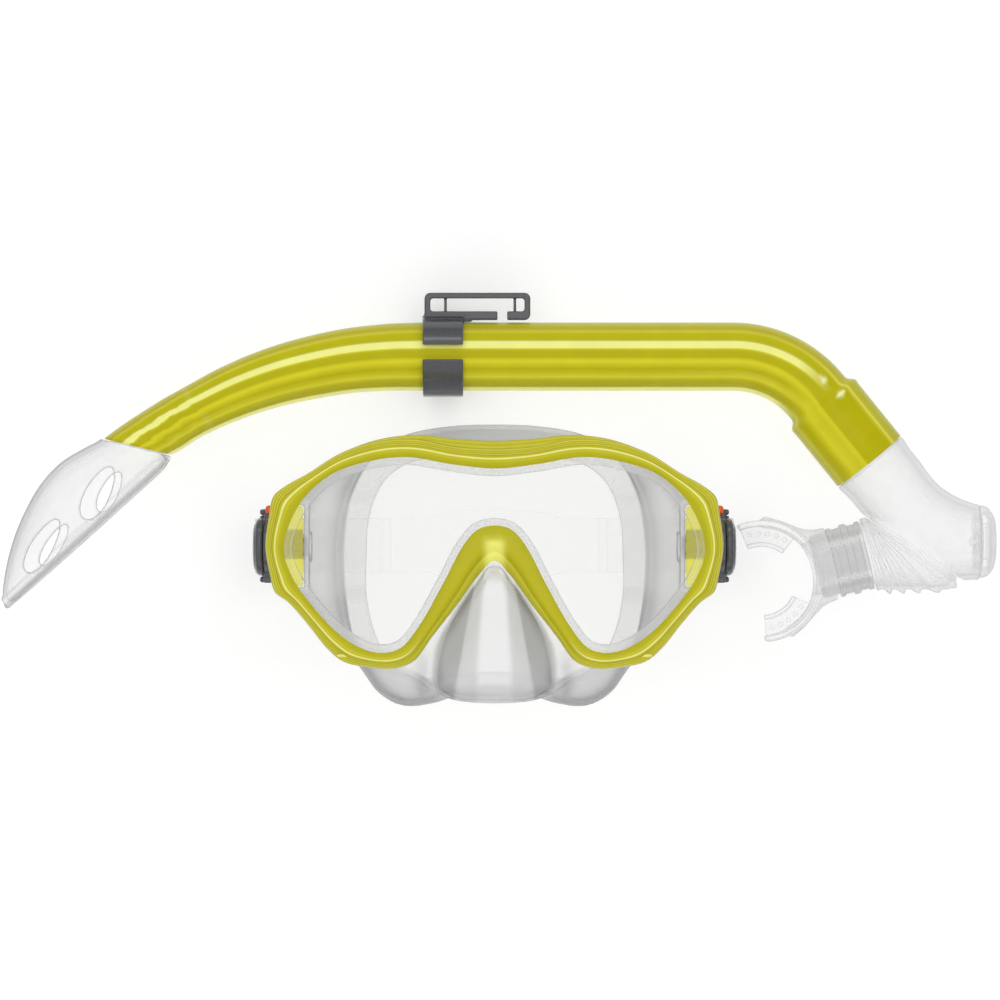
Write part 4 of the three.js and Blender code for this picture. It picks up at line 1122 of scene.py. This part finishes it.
# Stations of the upper bend: x, y, the oval's tilt in degrees, its half in the plane and in height.
LEFT_END = (-130.2, 36.25, 166.4, 12.55, 10.6)
LEFT_BEND = [
    LEFT_END, (-119.5, 43.2, 143, 10.3, 10.7), (-110.3, 48.7, 121, 9.5, 10.9),
    (-95.8, 55.8, 114, 10.2, 11.2), (-81.3, 61.2, 108, 10.9, 11.6), (-66.8, 65, 102, 11.5, 12),
    (-52.4, 67.6, 97.5, 11.9, 12.3), (-37.9, 68.8, 92.5, 12.3, 12.5),
    (-27, BARREL_Y, 90, BARREL_RADIUS, BARREL_RADIUS),
]
BEND_START = 87.0
BEND_RADIUS = 39.5
BEND_ANGLE = 51.0
SOCKET_LENGTH = 30.4
SPIGOT_LENGTH = 21.0
SOCKET_WALL = 1.9
TUBE_SIDES = 96


def bend_point(degrees):
    """The lower bend's middle line after a turn: x, y and the oval's tilt."""
    turn = math.radians(degrees)
    x = BEND_START + BEND_RADIUS * math.sin(turn)
    y = BARREL_Y - BEND_RADIUS * (1 - math.cos(turn))
    return x, y, 90 - degrees


BEND_END = bend_point(BEND_ANGLE)
SOCKET_AIM = (math.cos(math.radians(BEND_ANGLE)), -math.sin(math.radians(BEND_ANGLE)), 0)


def socket_station(distance, radius):
    """A round station on the socket's axis, which starts where the lower bend ends."""
    return (BEND_END[0] + SOCKET_AIM[0] * distance, BEND_END[1] + SOCKET_AIM[1] * distance,
            90 - BEND_ANGLE, radius, radius)


def oval_ring(station, sides=TUBE_SIDES):
    """An oval that stands on the snorkel's plane: x, y, tilt of its in-plane half, half, depth."""
    x, y, tilt, half, depth = station
    angle = math.radians(tilt)
    turns = turns_of(sides)
    along = half * np.cos(turns)
    return np.column_stack([x + along * math.cos(angle), y + along * math.sin(angle),
                            SNORKEL_Z + depth * np.sin(turns)])


def thinned(station, wall):
    x, y, tilt, half, depth = station
    return x, y, tilt, half - wall, depth - wall


def barrel_run():
    """The barrel's outside stations from its upper end to the end of its lower bend."""
    left = [tuple(row) for row in smooth_line(LEFT_BEND, steps=8)]
    straight = [(x, BARREL_Y, 90, BARREL_RADIUS, BARREL_RADIUS) for x in np.linspace(-22, 84, 16)]
    bend = [(*bend_point(d), BARREL_RADIUS, BARREL_RADIUS) for d in np.linspace(0, BEND_ANGLE, 26)]
    return left + straight + bend


def lipped(outer, inner, shift_start, shift_end):
    """Outer stations, then inner ones back, with rounded lips at both ends."""
    def lip(a, b, shift):
        x, y, *rest = ((p + q) / 2 for p, q in zip(a, b))
        return x + shift[0], y + shift[1], *rest

    start_lip = lip(outer[0], inner[0], shift_start)
    end_lip = lip(outer[-1], inner[-1], shift_end)
    return outer + [end_lip] + inner[::-1] + [start_lip]


def barrel_looks(stations):
    """Named values for the barrel's points.

    band runs across the tube and places its painted reflection bands, with slight ripples in them over
    the splash guard's spigot.
    zone fades to the socket's own painted bands. painted_light is two small painted highlights at the
    shoulder and a faint painted light line at the spigot's end.
    """
    middles = np.array([s[:2] for s in stations])
    past = measured(*middles.T, BEND_END, SOCKET_AIM)
    curved = middles[:, 0] > BEND_START
    band = np.tile(np.cos(turns_of(TUBE_SIDES)), len(stations))
    zone = np.repeat(ramp(past, -13, 1) * curved, TUBE_SIDES)
    along = np.repeat(np.where(curved, past, -99), TUBE_SIDES)
    # Painted highlights: two small spots at the shoulder, and a faint painted light line at the spigot's
    # end.
    painted_light = 0
    for place, level, reach in ((-3.4, 0.42, 0.8), (4.3, 0.45, 0.9)):
        painted_light = painted_light + np.clip(1.6 - ((along - place) / reach) ** 2 - ((band - level) / 0.12) ** 2, 0, 1)
    from_end = np.repeat(ramp(middles[:, 0] - LEFT_END[0], 0, 24), TUBE_SIDES)
    wave = np.sin(from_end * 17 + band * 5) + np.sin(from_end * 43 - band * 8) * 0.6
    ripple = 0.03 * wave * ramp(1 - from_end, 0, 1 / 8)
    painted_light = painted_light + 0.1 * bell(from_end + 0.05 * band, 0.93, 0.015)
    return {"band": band + ripple * (1 - band ** 2), "zone": zone, "painted_light": np.clip(painted_light, 0, 1)}


def add_barrel():
    run = barrel_run()
    wide = SOCKET_RADIUS
    rim = SOCKET_LENGTH - 0.15
    shoulder = [(0.8, 12.55), (1.5, 12.75), (2.1, 13.2), (2.7, 13.9), (3.3, 14.5), (3.9, 14.85),
                (4.5, 14.95), (5.2, 14.88), (6.2, wide), (14, wide), (22, wide), (29.9, wide),
                (rim, wide - 0.15)]
    outer = run + [socket_station(d, r) for d, r in shoulder]
    bore = BARREL_RADIUS - BARREL_WALL
    seat = wide - SOCKET_WALL
    step = SOCKET_LENGTH - SPIGOT_LENGTH - GAP
    inside = [(2, bore), (step - 0.4, bore), (step, bore + 0.3), (step + 0.1, seat - 0.2),
              (step + 0.5, seat), (20, seat), (30.3, seat)]
    inner = [thinned(s, BARREL_WALL) for s in run] + [socket_station(d, r) for d, r in inside]
    reach = SOCKET_LENGTH - rim
    stations = lipped(outer, inner, (-0.25, -0.2), (SOCKET_AIM[0] * reach, SOCKET_AIM[1] * reach))
    part = skin_rings([oval_ring(s) for s in stations], closed_path=True)
    make_object("barrel_tube", part, yellow_tube, "snorkel", ["barrel"],
                barrel_looks(stations))


# ---------------------------------------------------------------- splash guard

# The slanted mouth's start, the way it runs to the tip, and the way from it to the hood's back.
MOUTH = (-121, 28.6)
MOUTH_AIM = (-0.743, -0.67)
MOUTH_UP = (-0.67, 0.743)
# The hood: distance along the mouth, height over it, and half of its depth.
HOOD_LINE = smooth_line([
    (-6, 20.0, 10.4), (4, 21.4, 10.6), (10, 22.6, 10.9), (16, 24.3, 11.4), (27, 26.3, 12.2),
    (38, 25.2, 12.4), (48, 21.9, 11.6), (57, 17.7, 9.6), (66, 12.0, 6.6), (72, 7.2, 3.8),
    (75.2, 4.2, 1.9),
])
DRAIN_HOLES = [(-144, 19.2, 20.7, 8.5, 63), (-164.3, 0, 22, 7.6, 58.5)]    # middle, length, width, turn
GUARD_WALL = 1.6
RIM_START = (LEFT_END[0] - 0.25, LEFT_END[1] - 0.2)
RIM_ALONG = (-0.972, 0.235)
RIM_OUT = (-0.235, -0.972)
CORNER = (-118.3, 33.7)       # the collar's lower corner is cut off square to this way
CORNER_OUT = (0.862, -0.507)


def hood(along, lift, deep, wall):
    """The hood as a solid, inset by a wall: an oval that stands over the mouth's line."""
    height = np.interp(along, HOOD_LINE[:, 0], HOOD_LINE[:, 1])
    depth = np.interp(along, HOOD_LINE[:, 0], HOOD_LINE[:, 2])
    body = oval(lift - 0.35 * height, deep, 0.65 * height, depth)
    return smooth_max(smooth_max(body, along - 76.4, 1.5), -4.5 - along, 1.0) + wall


def drain_hole(x, y, deep, middle_x, middle_y, length, width, turn):
    """Distance to a drain hole: almond shaped in the near wall, smaller and set over in the far wall."""
    cosine = math.cos(math.radians(turn))
    sine = math.sin(math.radians(turn))
    u = measured(x, y, (middle_x, middle_y), (cosine, sine))
    v = measured(x, y, (middle_x, middle_y), (-sine, cosine))
    taper = 1 - 0.3 * np.clip(u / length, -0.5, 0.6)
    near_hole = np.maximum(oval(u, v, length / 2, width / 2 * taper), -deep)
    far_hole = np.maximum(oval(u - 1.6, v + 2.2, length / 2.6, width / 2.7 * taper), deep)
    return np.minimum(near_hole, far_hole)


def guard_field(x, y, z):
    """A hood with a slanted mouth, a collar on the barrel's end, a beaded rim and two drain holes."""
    along = measured(x, y, MOUTH, MOUTH_AIM)
    lift = measured(x, y, MOUTH, MOUTH_UP)
    deep = z - SNORKEL_Z
    across = measured(x, y, RIM_START, RIM_ALONG)
    out = measured(x, y, RIM_START, RIM_OUT)
    rim = oval(across, deep, LEFT_END[3], LEFT_END[4])
    fade = 0.45 * np.maximum(out - 4, 0)
    shell = hood(along, lift, deep, 0)
    outer = smooth_min(shell, rim + fade, 3.0)
    inner = smooth_min(hood(along, lift, deep, GUARD_WALL), rim + fade + GUARD_WALL + 0.9, 3.0)
    body = smooth_max(outer, -inner, 0.5)
    bead = np.hypot(shell + 0.7, lift - 0.6) - 1.25
    body = smooth_min(body, np.maximum(bead, -along - 1.0), 0.8)
    mouth_cut = -lift - 0.55
    body = smooth_max(body, np.where(along > -3, mouth_cut, mouth_cut - 3 * (-3 - along)), 0.4)
    body = smooth_max(body, GAP - out, 0.3)
    for hole in DRAIN_HOLES:
        body = smooth_max(body, -drain_hole(x, y, deep, *hole), 0.35)
    return smooth_max(body, measured(x, y, CORNER, CORNER_OUT) - 0.6, 0.5)


def guard_painted_shade(x, y, z):
    """Painted shade where the clear plastic is made grey: the mouth's rim and a line inside it, the
    hood's back, the collar, the holes' edges.
    """
    along = measured(x, y, MOUTH, MOUTH_AIM)
    lift = measured(x, y, MOUTH, MOUTH_UP)
    height = np.interp(along, HOOD_LINE[:, 0], HOOD_LINE[:, 1])
    rim = 0.55 * np.clip(1.4 - np.abs(lift - 0.6) / 1.3, 0, 1)
    inner_line = 0.3 * bell(lift, 3.6, 0.5)
    back = 0.45 * bell(lift, height, 1.6)
    collar = 0.4 * ramp(-along, -1.5, 1.5) * ramp(-lift, -5, -2)
    lips = [0.55 * bell(drain_hole(x, y, z - SNORKEL_Z, *hole), 0, 0.6) for hole in DRAIN_HOLES]
    return np.maximum.reduce([rim, inner_line, back, collar, *lips])


def add_guard():
    """The hood with its spigot, which has ridges that grip the barrel's bore."""
    shell = field_skin(guard_field, (-180, -24, 0), (-114, 48, 30), 0.6)
    fit = BARREL_WALL + GAP
    ridge = 0.25
    plug = [(-130.4, 35.9, 166.4, 12.55, 10.6)] + LEFT_BEND[1:3] + [(-104.8, 51.6, 117, 9.8, 11)]
    plug = [tuple(row) for row in smooth_line(plug, steps=8)]
    ridged = [thinned(station, fit + (0 if (i // 3) % 2 else ridge)) for i, station in enumerate(plug)]
    bore = [thinned(s, fit + GUARD_WALL) for s in plug]
    stations = lipped(ridged, bore, (-0.1, -0.1), (0.4, 0.25))
    spigot = skin_rings([oval_ring(s, 72) for s in stations], closed_path=True)
    part = merged(shell, spigot)
    shade = np.concatenate([guard_painted_shade(*shell[0].T), np.zeros(len(spigot[0]))])
    make_object("guard_shell", part, clear, "snorkel", ["splash_guard"],
                {"shade": shade})


# ---------------------------------------------------------------- keeper clip

KEEPER_LEFT, KEEPER_RIGHT = -26.1, -11.4
LOOP_LEFT, LOOP_RIGHT, LOOP_LOW, LOOP_HIGH = -25.7, 13.2, 82.2, 92.4
LOOP_HALF = 2.6              # half of the loop's thickness
LOOP_CORNER = 2.6
SLOT_LOW, SLOT_HIGH = 85.5, 90.2


def keeper_field(x, y, z):
    """A C clip round the barrel with a flat slotted loop for the mask's strap."""
    deep = z - SNORKEL_Z
    above = 60
    out = np.hypot(y - BARREL_Y, deep)

    def slab(left, right, low, high, half, radius):
        return block(x, y, deep, (left, low, -half), (right, high, half), radius)

    def past_edge(value, low, high):
        """How far a value is past the start of a corner of the loop."""
        return np.maximum(np.abs(value - (low + high) / 2) - (high - low) / 2 + LOOP_CORNER, 0)

    middle = (KEEPER_LEFT + KEEPER_RIGHT) / 2
    half = (KEEPER_RIGHT - KEEPER_LEFT) / 2
    band = smooth_max(np.abs(out - 13.75) - 0.95, np.abs(x - middle) - half, 0.5)
    gap = block(x, y, deep, (-above, BARREL_Y - 1.3, 0), (above, BARREL_Y + 4, above), 0.3)
    band = smooth_max(band, -gap, 0.5)
    neck = slab(KEEPER_LEFT, KEEPER_RIGHT + 3, 79, 84, LOOP_HALF, 0.8)
    neck = smooth_max(neck, BARREL_RADIUS + 0.35 - out, 0.3)
    loop = slab(LOOP_LEFT, LOOP_RIGHT, LOOP_LOW, LOOP_HIGH, LOOP_HALF, 0.9)
    corner = np.hypot(past_edge(x, LOOP_LEFT, LOOP_RIGHT), past_edge(y, LOOP_LOW, LOOP_HIGH))
    loop = smooth_max(loop, corner - LOOP_CORNER, 0.4)
    body = smooth_min(smooth_min(band, neck, 1.0), loop, 0.8)
    slot = slab(LOOP_LEFT + 2.3, LOOP_RIGHT - 2.3, SLOT_LOW, SLOT_HIGH, above, 1.0)
    entry = slab(1.1, 4.6, 80, SLOT_LOW + 1, above, 0.3)
    body = smooth_max(smooth_max(body, -slot, 0.5), -entry, 0.5)
    for post in (-17.9, 7.4):
        bar = slab(post - 0.5, post + 0.5, SLOT_LOW - 0.6, SLOT_HIGH + 0.6, 0.9, 0.3)
        body = smooth_min(body, bar, 0.3)
    return body


def add_keeper():
    part = field_skin(keeper_field, (-27, 53.5, -0.3), (14.2, 93.2, 30), 0.42)
    make_object("keeper", part, dark, "keeper", ["keeper_clip"])


# ---------------------------------------------------------------- lower chamber and purge valve

PURGE_Y = 1.5
PURGE_X = 176.6                # where the chamber ends and the purge valve sits
PORT = (152.6, -0.4)           # middle of the port that the neck leaves from
SEAM_ALONG = (0.8387, -0.5446)
SEAM_OUT = (-0.5446, -0.8387)
SOCKET_END = socket_station(SOCKET_LENGTH, 0)[:2]
# Middle line and radius of the chamber past the socket.
CHAMBER_RUN = [(143.6, 22.6, 14.0), (151.6, 12.4, 13.95), (160, 6, 14.2), (168.6, 1.9, 14.6),
               (PURGE_X, 1.2, 13.5), (PURGE_X + 8, 1.2, 13.0)]


def chamber_field(x, y, z):
    """The elbow from the socket to the purge end, with the port that the neck leaves from."""
    deep = z - SNORKEL_Z
    start = socket_station(SOCKET_LENGTH - 8, 0)[:2]
    run = [(*start, 14.6), (*SOCKET_END, 14.6)] + CHAMBER_RUN
    tube = chain(x, y, z, [(px, py, SNORKEL_Z, radius) for px, py, radius in run])
    u = measured(x, y, PORT, SEAM_ALONG)
    w = measured(x, y, PORT, SEAM_OUT)
    t = np.clip((w + 10) / 10, 0, 1.2)
    port = oval(u, deep, 13 + 6.9 * t, 11.5 + 1.9 * t)
    port_solid = smooth_max(port, -w - 14, 1.0)
    outer = smooth_min(tube, port_solid, 3.0)
    inner = smooth_min(tube + GUARD_WALL, port_solid + GUARD_WALL, 2.0)
    body = smooth_max(outer, -inner, 0.4)
    body = smooth_max(body, GAP - measured(x, y, SOCKET_END, SOCKET_AIM), 0.4)
    body = smooth_max(body, w, 0.4)
    return smooth_max(body, x - PURGE_X, 0.4)


def add_chamber():
    """The elbow with its spigot, which has one groove, in the barrel's socket."""
    shell = field_skin(chamber_field, (124, -14.6, -0.6), (178, 44, 30.6), 0.6)
    radius = SOCKET_RADIUS - SOCKET_WALL - GAP
    groove = radius - 0.5
    inner = radius - GUARD_WALL
    low = SOCKET_LENGTH - SPIGOT_LENGTH
    end = SOCKET_LENGTH + 1.2
    profile = rounded_profile([
        (inner, low), (radius, low), (radius, low + 3), (groove, low + 3.3), (groove, low + 4.6),
        (radius, low + 5), (radius, end), (inner, end),
    ], 0.3)
    spigot = turned(profile, np.array([*socket_station(0, 0)[:2], SNORKEL_Z]), SOCKET_AIM)
    part = merged(shell, spigot)
    make_object("chamber_shell", part, clear, "chamber", ["lower_chamber"])


def add_purge():
    """A spoked seat, a thin disc with a stem through its hub, and a domed cover."""
    along_x = (1, 0, 0)
    middle = np.array([0.0, PURGE_Y, SNORKEL_Z])
    bore = 10.4 - GAP
    seat = PURGE_X - 1.8
    thick = 2.0

    def washer(inner, outer, sides):
        corners = [(inner, seat), (outer, seat), (outer, seat + thick), (inner, seat + thick)]
        return turned(rounded_profile(corners, 0.3), middle, along_x, sides)

    bars = []
    for turn in range(0, 360, 60):
        angle = math.radians(turn)
        aim = np.array([0, math.cos(angle), math.sin(angle)])
        start = middle + [seat + thick / 2, 0, 0] + 2.3 * aim
        bars.append(rod(start, aim, bore - 3.6, 0.7, 0.2, 16))
    wheel = merged(washer(bore - 1.6, bore, 72), washer(1.5, 2.6, 32), *bars)
    make_object("purge_seat_wheel", wheel, clear, "chamber", ["purge_seat"])
    stem, edge, core = 1.2, 9.4, 0.01
    corners = [(core, -3.2), (stem, -3.2), (stem, 0.5), (edge, 0.6), (edge, 1.2), (1.5, 1.4), (core, 1.4)]
    profile = rounded_profile([(radius, PURGE_X + run) for radius, run in corners], 0.2)
    disc = turned(profile, middle, along_x)
    make_object("purge_flap", disc, soft_clear, "valve", ["purge_valve"])
    part = field_skin(cover_field, (176.5, -13.2, 0.2), (183.2, 16.2, 29.8), 0.42)
    make_object("purge_cap", part, clear, "chamber", ["purge_cover"])


def cover_field(x, y, z):
    """The purge valve's domed cover, with a hole in the middle and two vents underneath."""
    out = np.hypot(y - PURGE_Y, z - SNORKEL_Z)
    run = x - PURGE_X - GAP
    radius = 13.3
    top = 5.8 * np.sqrt(np.clip(1 - (np.maximum(out - 6.2, 0) / 7.3) ** 2, 0.001, 1))
    under = top - 1.4
    body = smooth_max(smooth_max(run - top, out - radius, 0.8), -run, 0.3)
    body = smooth_max(body, -smooth_max(run - under, out - radius + 2.4, 0.4), 0.3)
    body = smooth_max(body, 2 - out, 0.4)
    for turn in (45, 135):
        angle = math.radians(turn)
        aim = (-math.sin(angle), math.cos(angle))
        across = np.abs(measured(y, z, (PURGE_Y, SNORKEL_Z), aim)) - 2.3
        slot = smooth_max(smooth_max(across, np.abs(run - 2.4) - 1.1, 0.4), z - SNORKEL_Z + 6, 0.3)
        body = smooth_max(body, -slot, 0.3)
    return body


# ---------------------------------------------------------------- neck, connector and mouthpiece

MOUTH_PIECE_AIM = np.array([-0.971, -0.239, 0.0])
CONNECTOR_END = (136.5, -3.2)
CONNECTOR_LENGTH = 12.4
AIRWAY = 10.0
CROTCH = (135.2, 10.4)         # the point that the neck's rings fan out from
NECK_TURN = (-33.0, -76.2)     # the first and the last ring's tilt
PLEATS = 5


def neck_station(share, wall):
    """The neck's rings fan out from the crotch, close together there and wide apart below."""
    turn = NECK_TURN[0] + (NECK_TURN[1] - NECK_TURN[0]) * share
    wave = math.sin(math.pi * share * PLEATS) ** 2
    fold = 1.9 * wave ** 1.6 * (0.25 if wall else 1.0)
    angle = math.radians(turn)
    lowest = 26.3 / math.sin(-angle)
    reach = min(40.2, lowest) + fold - wall
    depth = 13.4 - 0.4 * share + 0.8 * fold - 0.8 - wall
    middle = (reach + wall) / 2
    x = CROTCH[0] + math.cos(angle) * middle + 0.1 * SEAM_OUT[0]
    y = CROTCH[1] + math.sin(angle) * middle + 0.1 * SEAM_OUT[1]
    return (x, y, turn, (reach - wall) / 2, depth)


def add_neck():
    """The pleats, and a short sleeve from the last of them to the connector."""
    shares = np.linspace(0, 1, 71)
    sleeve = 1.9
    outer = [neck_station(s, 0) for s in shares]
    inner = [neck_station(s, 1.4) for s in shares]
    for stations in (outer, inner):
        x, y, *rest = stations[-1]
        stations.append((x + MOUTH_PIECE_AIM[0] * sleeve, y + MOUTH_PIECE_AIM[1] * sleeve, *rest))
    part = skin_rings([oval_ring(s) for s in outer + inner[::-1]], closed_path=True)
    made = make_object("neck_pleats", part, soft_clear, None, ["flex_neck"])
    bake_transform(made)


def along_mouthpiece(distance):
    """A point on the axis that the connector and the duct share."""
    return np.array([*CONNECTOR_END, SNORKEL_Z]) + MOUTH_PIECE_AIM * distance


def add_connector():
    """A ribbed ring with a spigot in the mouthpiece, and two lighter bands where its wall shines."""
    length = CONNECTOR_LENGTH
    rim, waist, rib, spigot = 12.8, 12.2, 13.1, 11.4
    corners = [(AIRWAY, 0), (rim, 0), (rim, 1.6), (waist, 1.9), (waist, 4.6), (rib, 5), (rib, 7.2),
               (waist, 7.6), (waist, 10.4), (rim, 10.7), (rim, length), (spigot, length),
               (spigot, length + 6), (AIRWAY, length + 6)]
    profile = rounded_profile(corners, 0.3)
    part = turned(profile, along_mouthpiece(GAP + 0.6), MOUTH_PIECE_AIM, 96)
    aside = (part[0] - along_mouthpiece(0)) @ [MOUTH_PIECE_AIM[1], -MOUTH_PIECE_AIM[0], 0]
    # The shade value paints two highlight bands along the ring and a slight grey elsewhere.
    shine_bands = np.exp(-((np.abs(aside) - 6.6) / 1.3) ** 4)
    make_object("connector_ring", part, band_look, "connector", ["mouthpiece_connector"],
                {"shade": 0.14 - 0.6 * shine_bands})


BITE_X, BITE_Y = 97.4, -12.9   # the middle of the curved flange
BITE_RADIUS = 20.1
BITE_AXIS = 13.8               # the way from that middle to the duct, in degrees
BITE_SPREAD = 100.0            # how far the flange reaches to each side of the duct, in degrees
TAB_INNER = 12.6


def mouthpiece_field(x, y, z):
    """The duct, the curved flange behind the lips, and two bite tabs with dimples."""
    deep = z - SNORKEL_Z
    origin = along_mouthpiece(2 * GAP + 0.6 + CONNECTOR_LENGTH)
    w = measured(x, y, origin, MOUTH_PIECE_AIM)
    tilt = math.radians(BITE_AXIS + 90)
    u = measured(x, y, origin, (math.cos(tilt), math.sin(tilt)))
    half = np.interp(w, [0, 4, 8, 12, 16, 20], [13.4, 13.6, 14.8, 17.0, 19.8, 22])
    tall = np.interp(w, [0, 4, 9, 13.5, 17], [13.2, 12, 10.4, 9, 8.6])
    out = np.hypot(x - BITE_X, y - BITE_Y)
    turn = np.degrees(np.arctan2(y - BITE_Y, x - BITE_X)) - BITE_AXIS
    turn = np.abs(np.mod(turn + 180, 360) - 180)
    side = np.radians(turn - BITE_SPREAD) * out
    duct = smooth_max(smooth_max(oval(u, deep, half, tall), -w, 0.5), BITE_RADIUS + 0.6 - out, 0.5)
    duct = np.maximum(duct, w - 20)
    lip_height = 12.5 - 3.0 * ramp(turn, 45, 105) ** 2
    flange = smooth_max(np.abs(out - BITE_RADIUS - 1.0) - 1.0, np.abs(deep) - lip_height, 0.9)
    flange = smooth_max(flange, side, 0.9)
    body = smooth_min(duct, flange, 3.5)
    inside = np.interp(w, [-1, 5.5, 6.3, 13, 20], [11.8, 11.8, 10, 9, 9])
    inside_tall = np.interp(w, [-1, 5.5, 6.3, 13, 20], [11.8, 11.8, 10, 6, 6])
    body = smooth_max(body, -np.maximum(oval(u, deep, inside, inside_tall), -w - 2), 0.5)
    ends = np.maximum(np.radians(turn - BITE_SPREAD + 1), np.radians(39 - turn)) * out
    tab = smooth_max(np.abs(deep) - 1.6, np.abs(out - 17.1) - 4.5, 0.6)
    ridge = smooth_max(np.abs(deep) - 3.6, np.abs(out - TAB_INNER - 0.7) - 0.7, 0.6)
    tab = smooth_max(smooth_min(tab, ridge, 0.5), ends, 0.6)
    first, pitch = 47, 11
    nearest = first + pitch * np.round(np.clip((turn - first) / pitch, 0, 4))
    dent = np.hypot(np.radians(turn - nearest) * out, out - 17.3)
    dimple = np.sqrt(dent ** 2 + (np.abs(deep) - 1.9) ** 2) - 1.0
    return smooth_min(body, smooth_max(tab, -dimple, 0.2), 0.8)


def add_mouthpiece():
    part = field_skin(mouthpiece_field, (86, -37, 1.2), (125.5, 11, 28.8), 0.5)
    make_object("mouthpiece_body", part, soft_clear, "mouthpiece", ["mouthpiece"])


# ---------------------------------------------------------------- build

add_lens()
add_bezel()
add_rear_frame()
add_gasket()
add_skirt()
add_strap()
add_buckles()
add_barrel()
add_guard()
add_keeper()
add_chamber()
add_purge()
add_neck()
add_connector()
add_mouthpiece()

# ---------------------------------------------------------------- floor, light and camera


def add_floor():
    """A plain white table just under the set."""
    half = 3.0
    corners = [(-half, -half), (half, -half), (half, half), (-half, half)]
    mesh = bpy.data.meshes.new("table_top")
    mesh.from_pydata([(x, y, -0.0003) for x, y in corners], [], [[0, 1, 2, 3]])
    made, tree = start_material("table_white")
    grain = noise(tree, 400.0)
    white = varied(tree, grain, 0.78, 0.79)
    color = add_node(tree, "CombineColor", {0: white, 1: white, 2: white})
    body = add_node(tree, "BsdfPrincipled", {
        "Base Color": color.outputs[0], "Roughness": 0.9, "Specular IOR Level": 0.0,
        "Emission Color": (1, 1, 1, 1), "Emission Strength": 0.32,
    })
    add_node(tree, "OutputMaterial", {"Surface": body.outputs[0]})
    mesh.materials.append(made)
    floor = bpy.data.objects.new("table_top", mesh)
    bpy.context.scene.collection.objects.link(floor)


def add_world():
    """Soft white light from all round, brighter from above."""
    world = bpy.data.worlds.new("studio")
    bpy.context.scene.world = world
    world.use_nodes = True
    tree = world.node_tree
    tree.nodes.clear()
    place = add_node(tree, "TexCoord")
    split = add_node(tree, "SeparateXYZ", {0: place.outputs["Generated"]})
    strength = ranged(tree, split.outputs["Z"], 0.05, 0.75, 0.30, 0.80)
    back = add_node(tree, "Background", {"Color": (1, 1, 1, 1), "Strength": strength})
    add_node(tree, "OutputWorld", {"Surface": back.outputs[0]})


def add_lamp(name, place, target, size, power):
    """A soft rectangular lamp, size in metres, that faces its target."""
    lamp = bpy.data.lights.new(name, "AREA")
    lamp.shape = "RECTANGLE"
    lamp.size, lamp.size_y = size
    lamp.energy = power
    made = bpy.data.objects.new(name, lamp)
    made.location = place
    way = Vector(target) - Vector(place)
    made.rotation_euler = way.to_track_quat("-Z", "Y").to_euler()
    bpy.context.scene.collection.objects.link(made)


def add_camera():
    """Straight above the set, as far off as a long lens stands."""
    view_width = 0.3623
    subject_height = 0.030
    lens = bpy.data.cameras.new("view_from_above")
    lens.lens = 200
    lens.sensor_width = 36
    lens.clip_end = 20
    lens.dof.use_dof = False
    made = bpy.data.objects.new("view_from_above", lens)
    distance = view_width * lens.lens / lens.sensor_width
    made.location = (-0.00016, -0.00033, subject_height + distance)
    bpy.context.scene.collection.objects.link(made)
    bpy.context.scene.camera = made


add_floor()
add_world()
add_lamp("overhead", (0, 0.3, 1.7), (0, 0, 0), (1.6, 0.9), 3.5)
add_lamp("brow_strip", (0, 1.1, 0.85), (0, 0.05, 0.03), (2.0, 0.16), 3)
add_lamp("chin_strip", (0, -1.0, 0.75), (0, 0.0, 0.03), (2.0, 0.12), 1.5)
add_camera()

scene = bpy.context.scene
scene.view_settings.view_transform = "Standard"
scene.view_settings.look = "None"
scene.cycles.max_bounces = 16
scene.cycles.transmission_bounces = 14
scene.cycles.transparent_max_bounces = 24
scene.cycles.caustics_refractive = True
scene.cycles.caustics_reflective = False
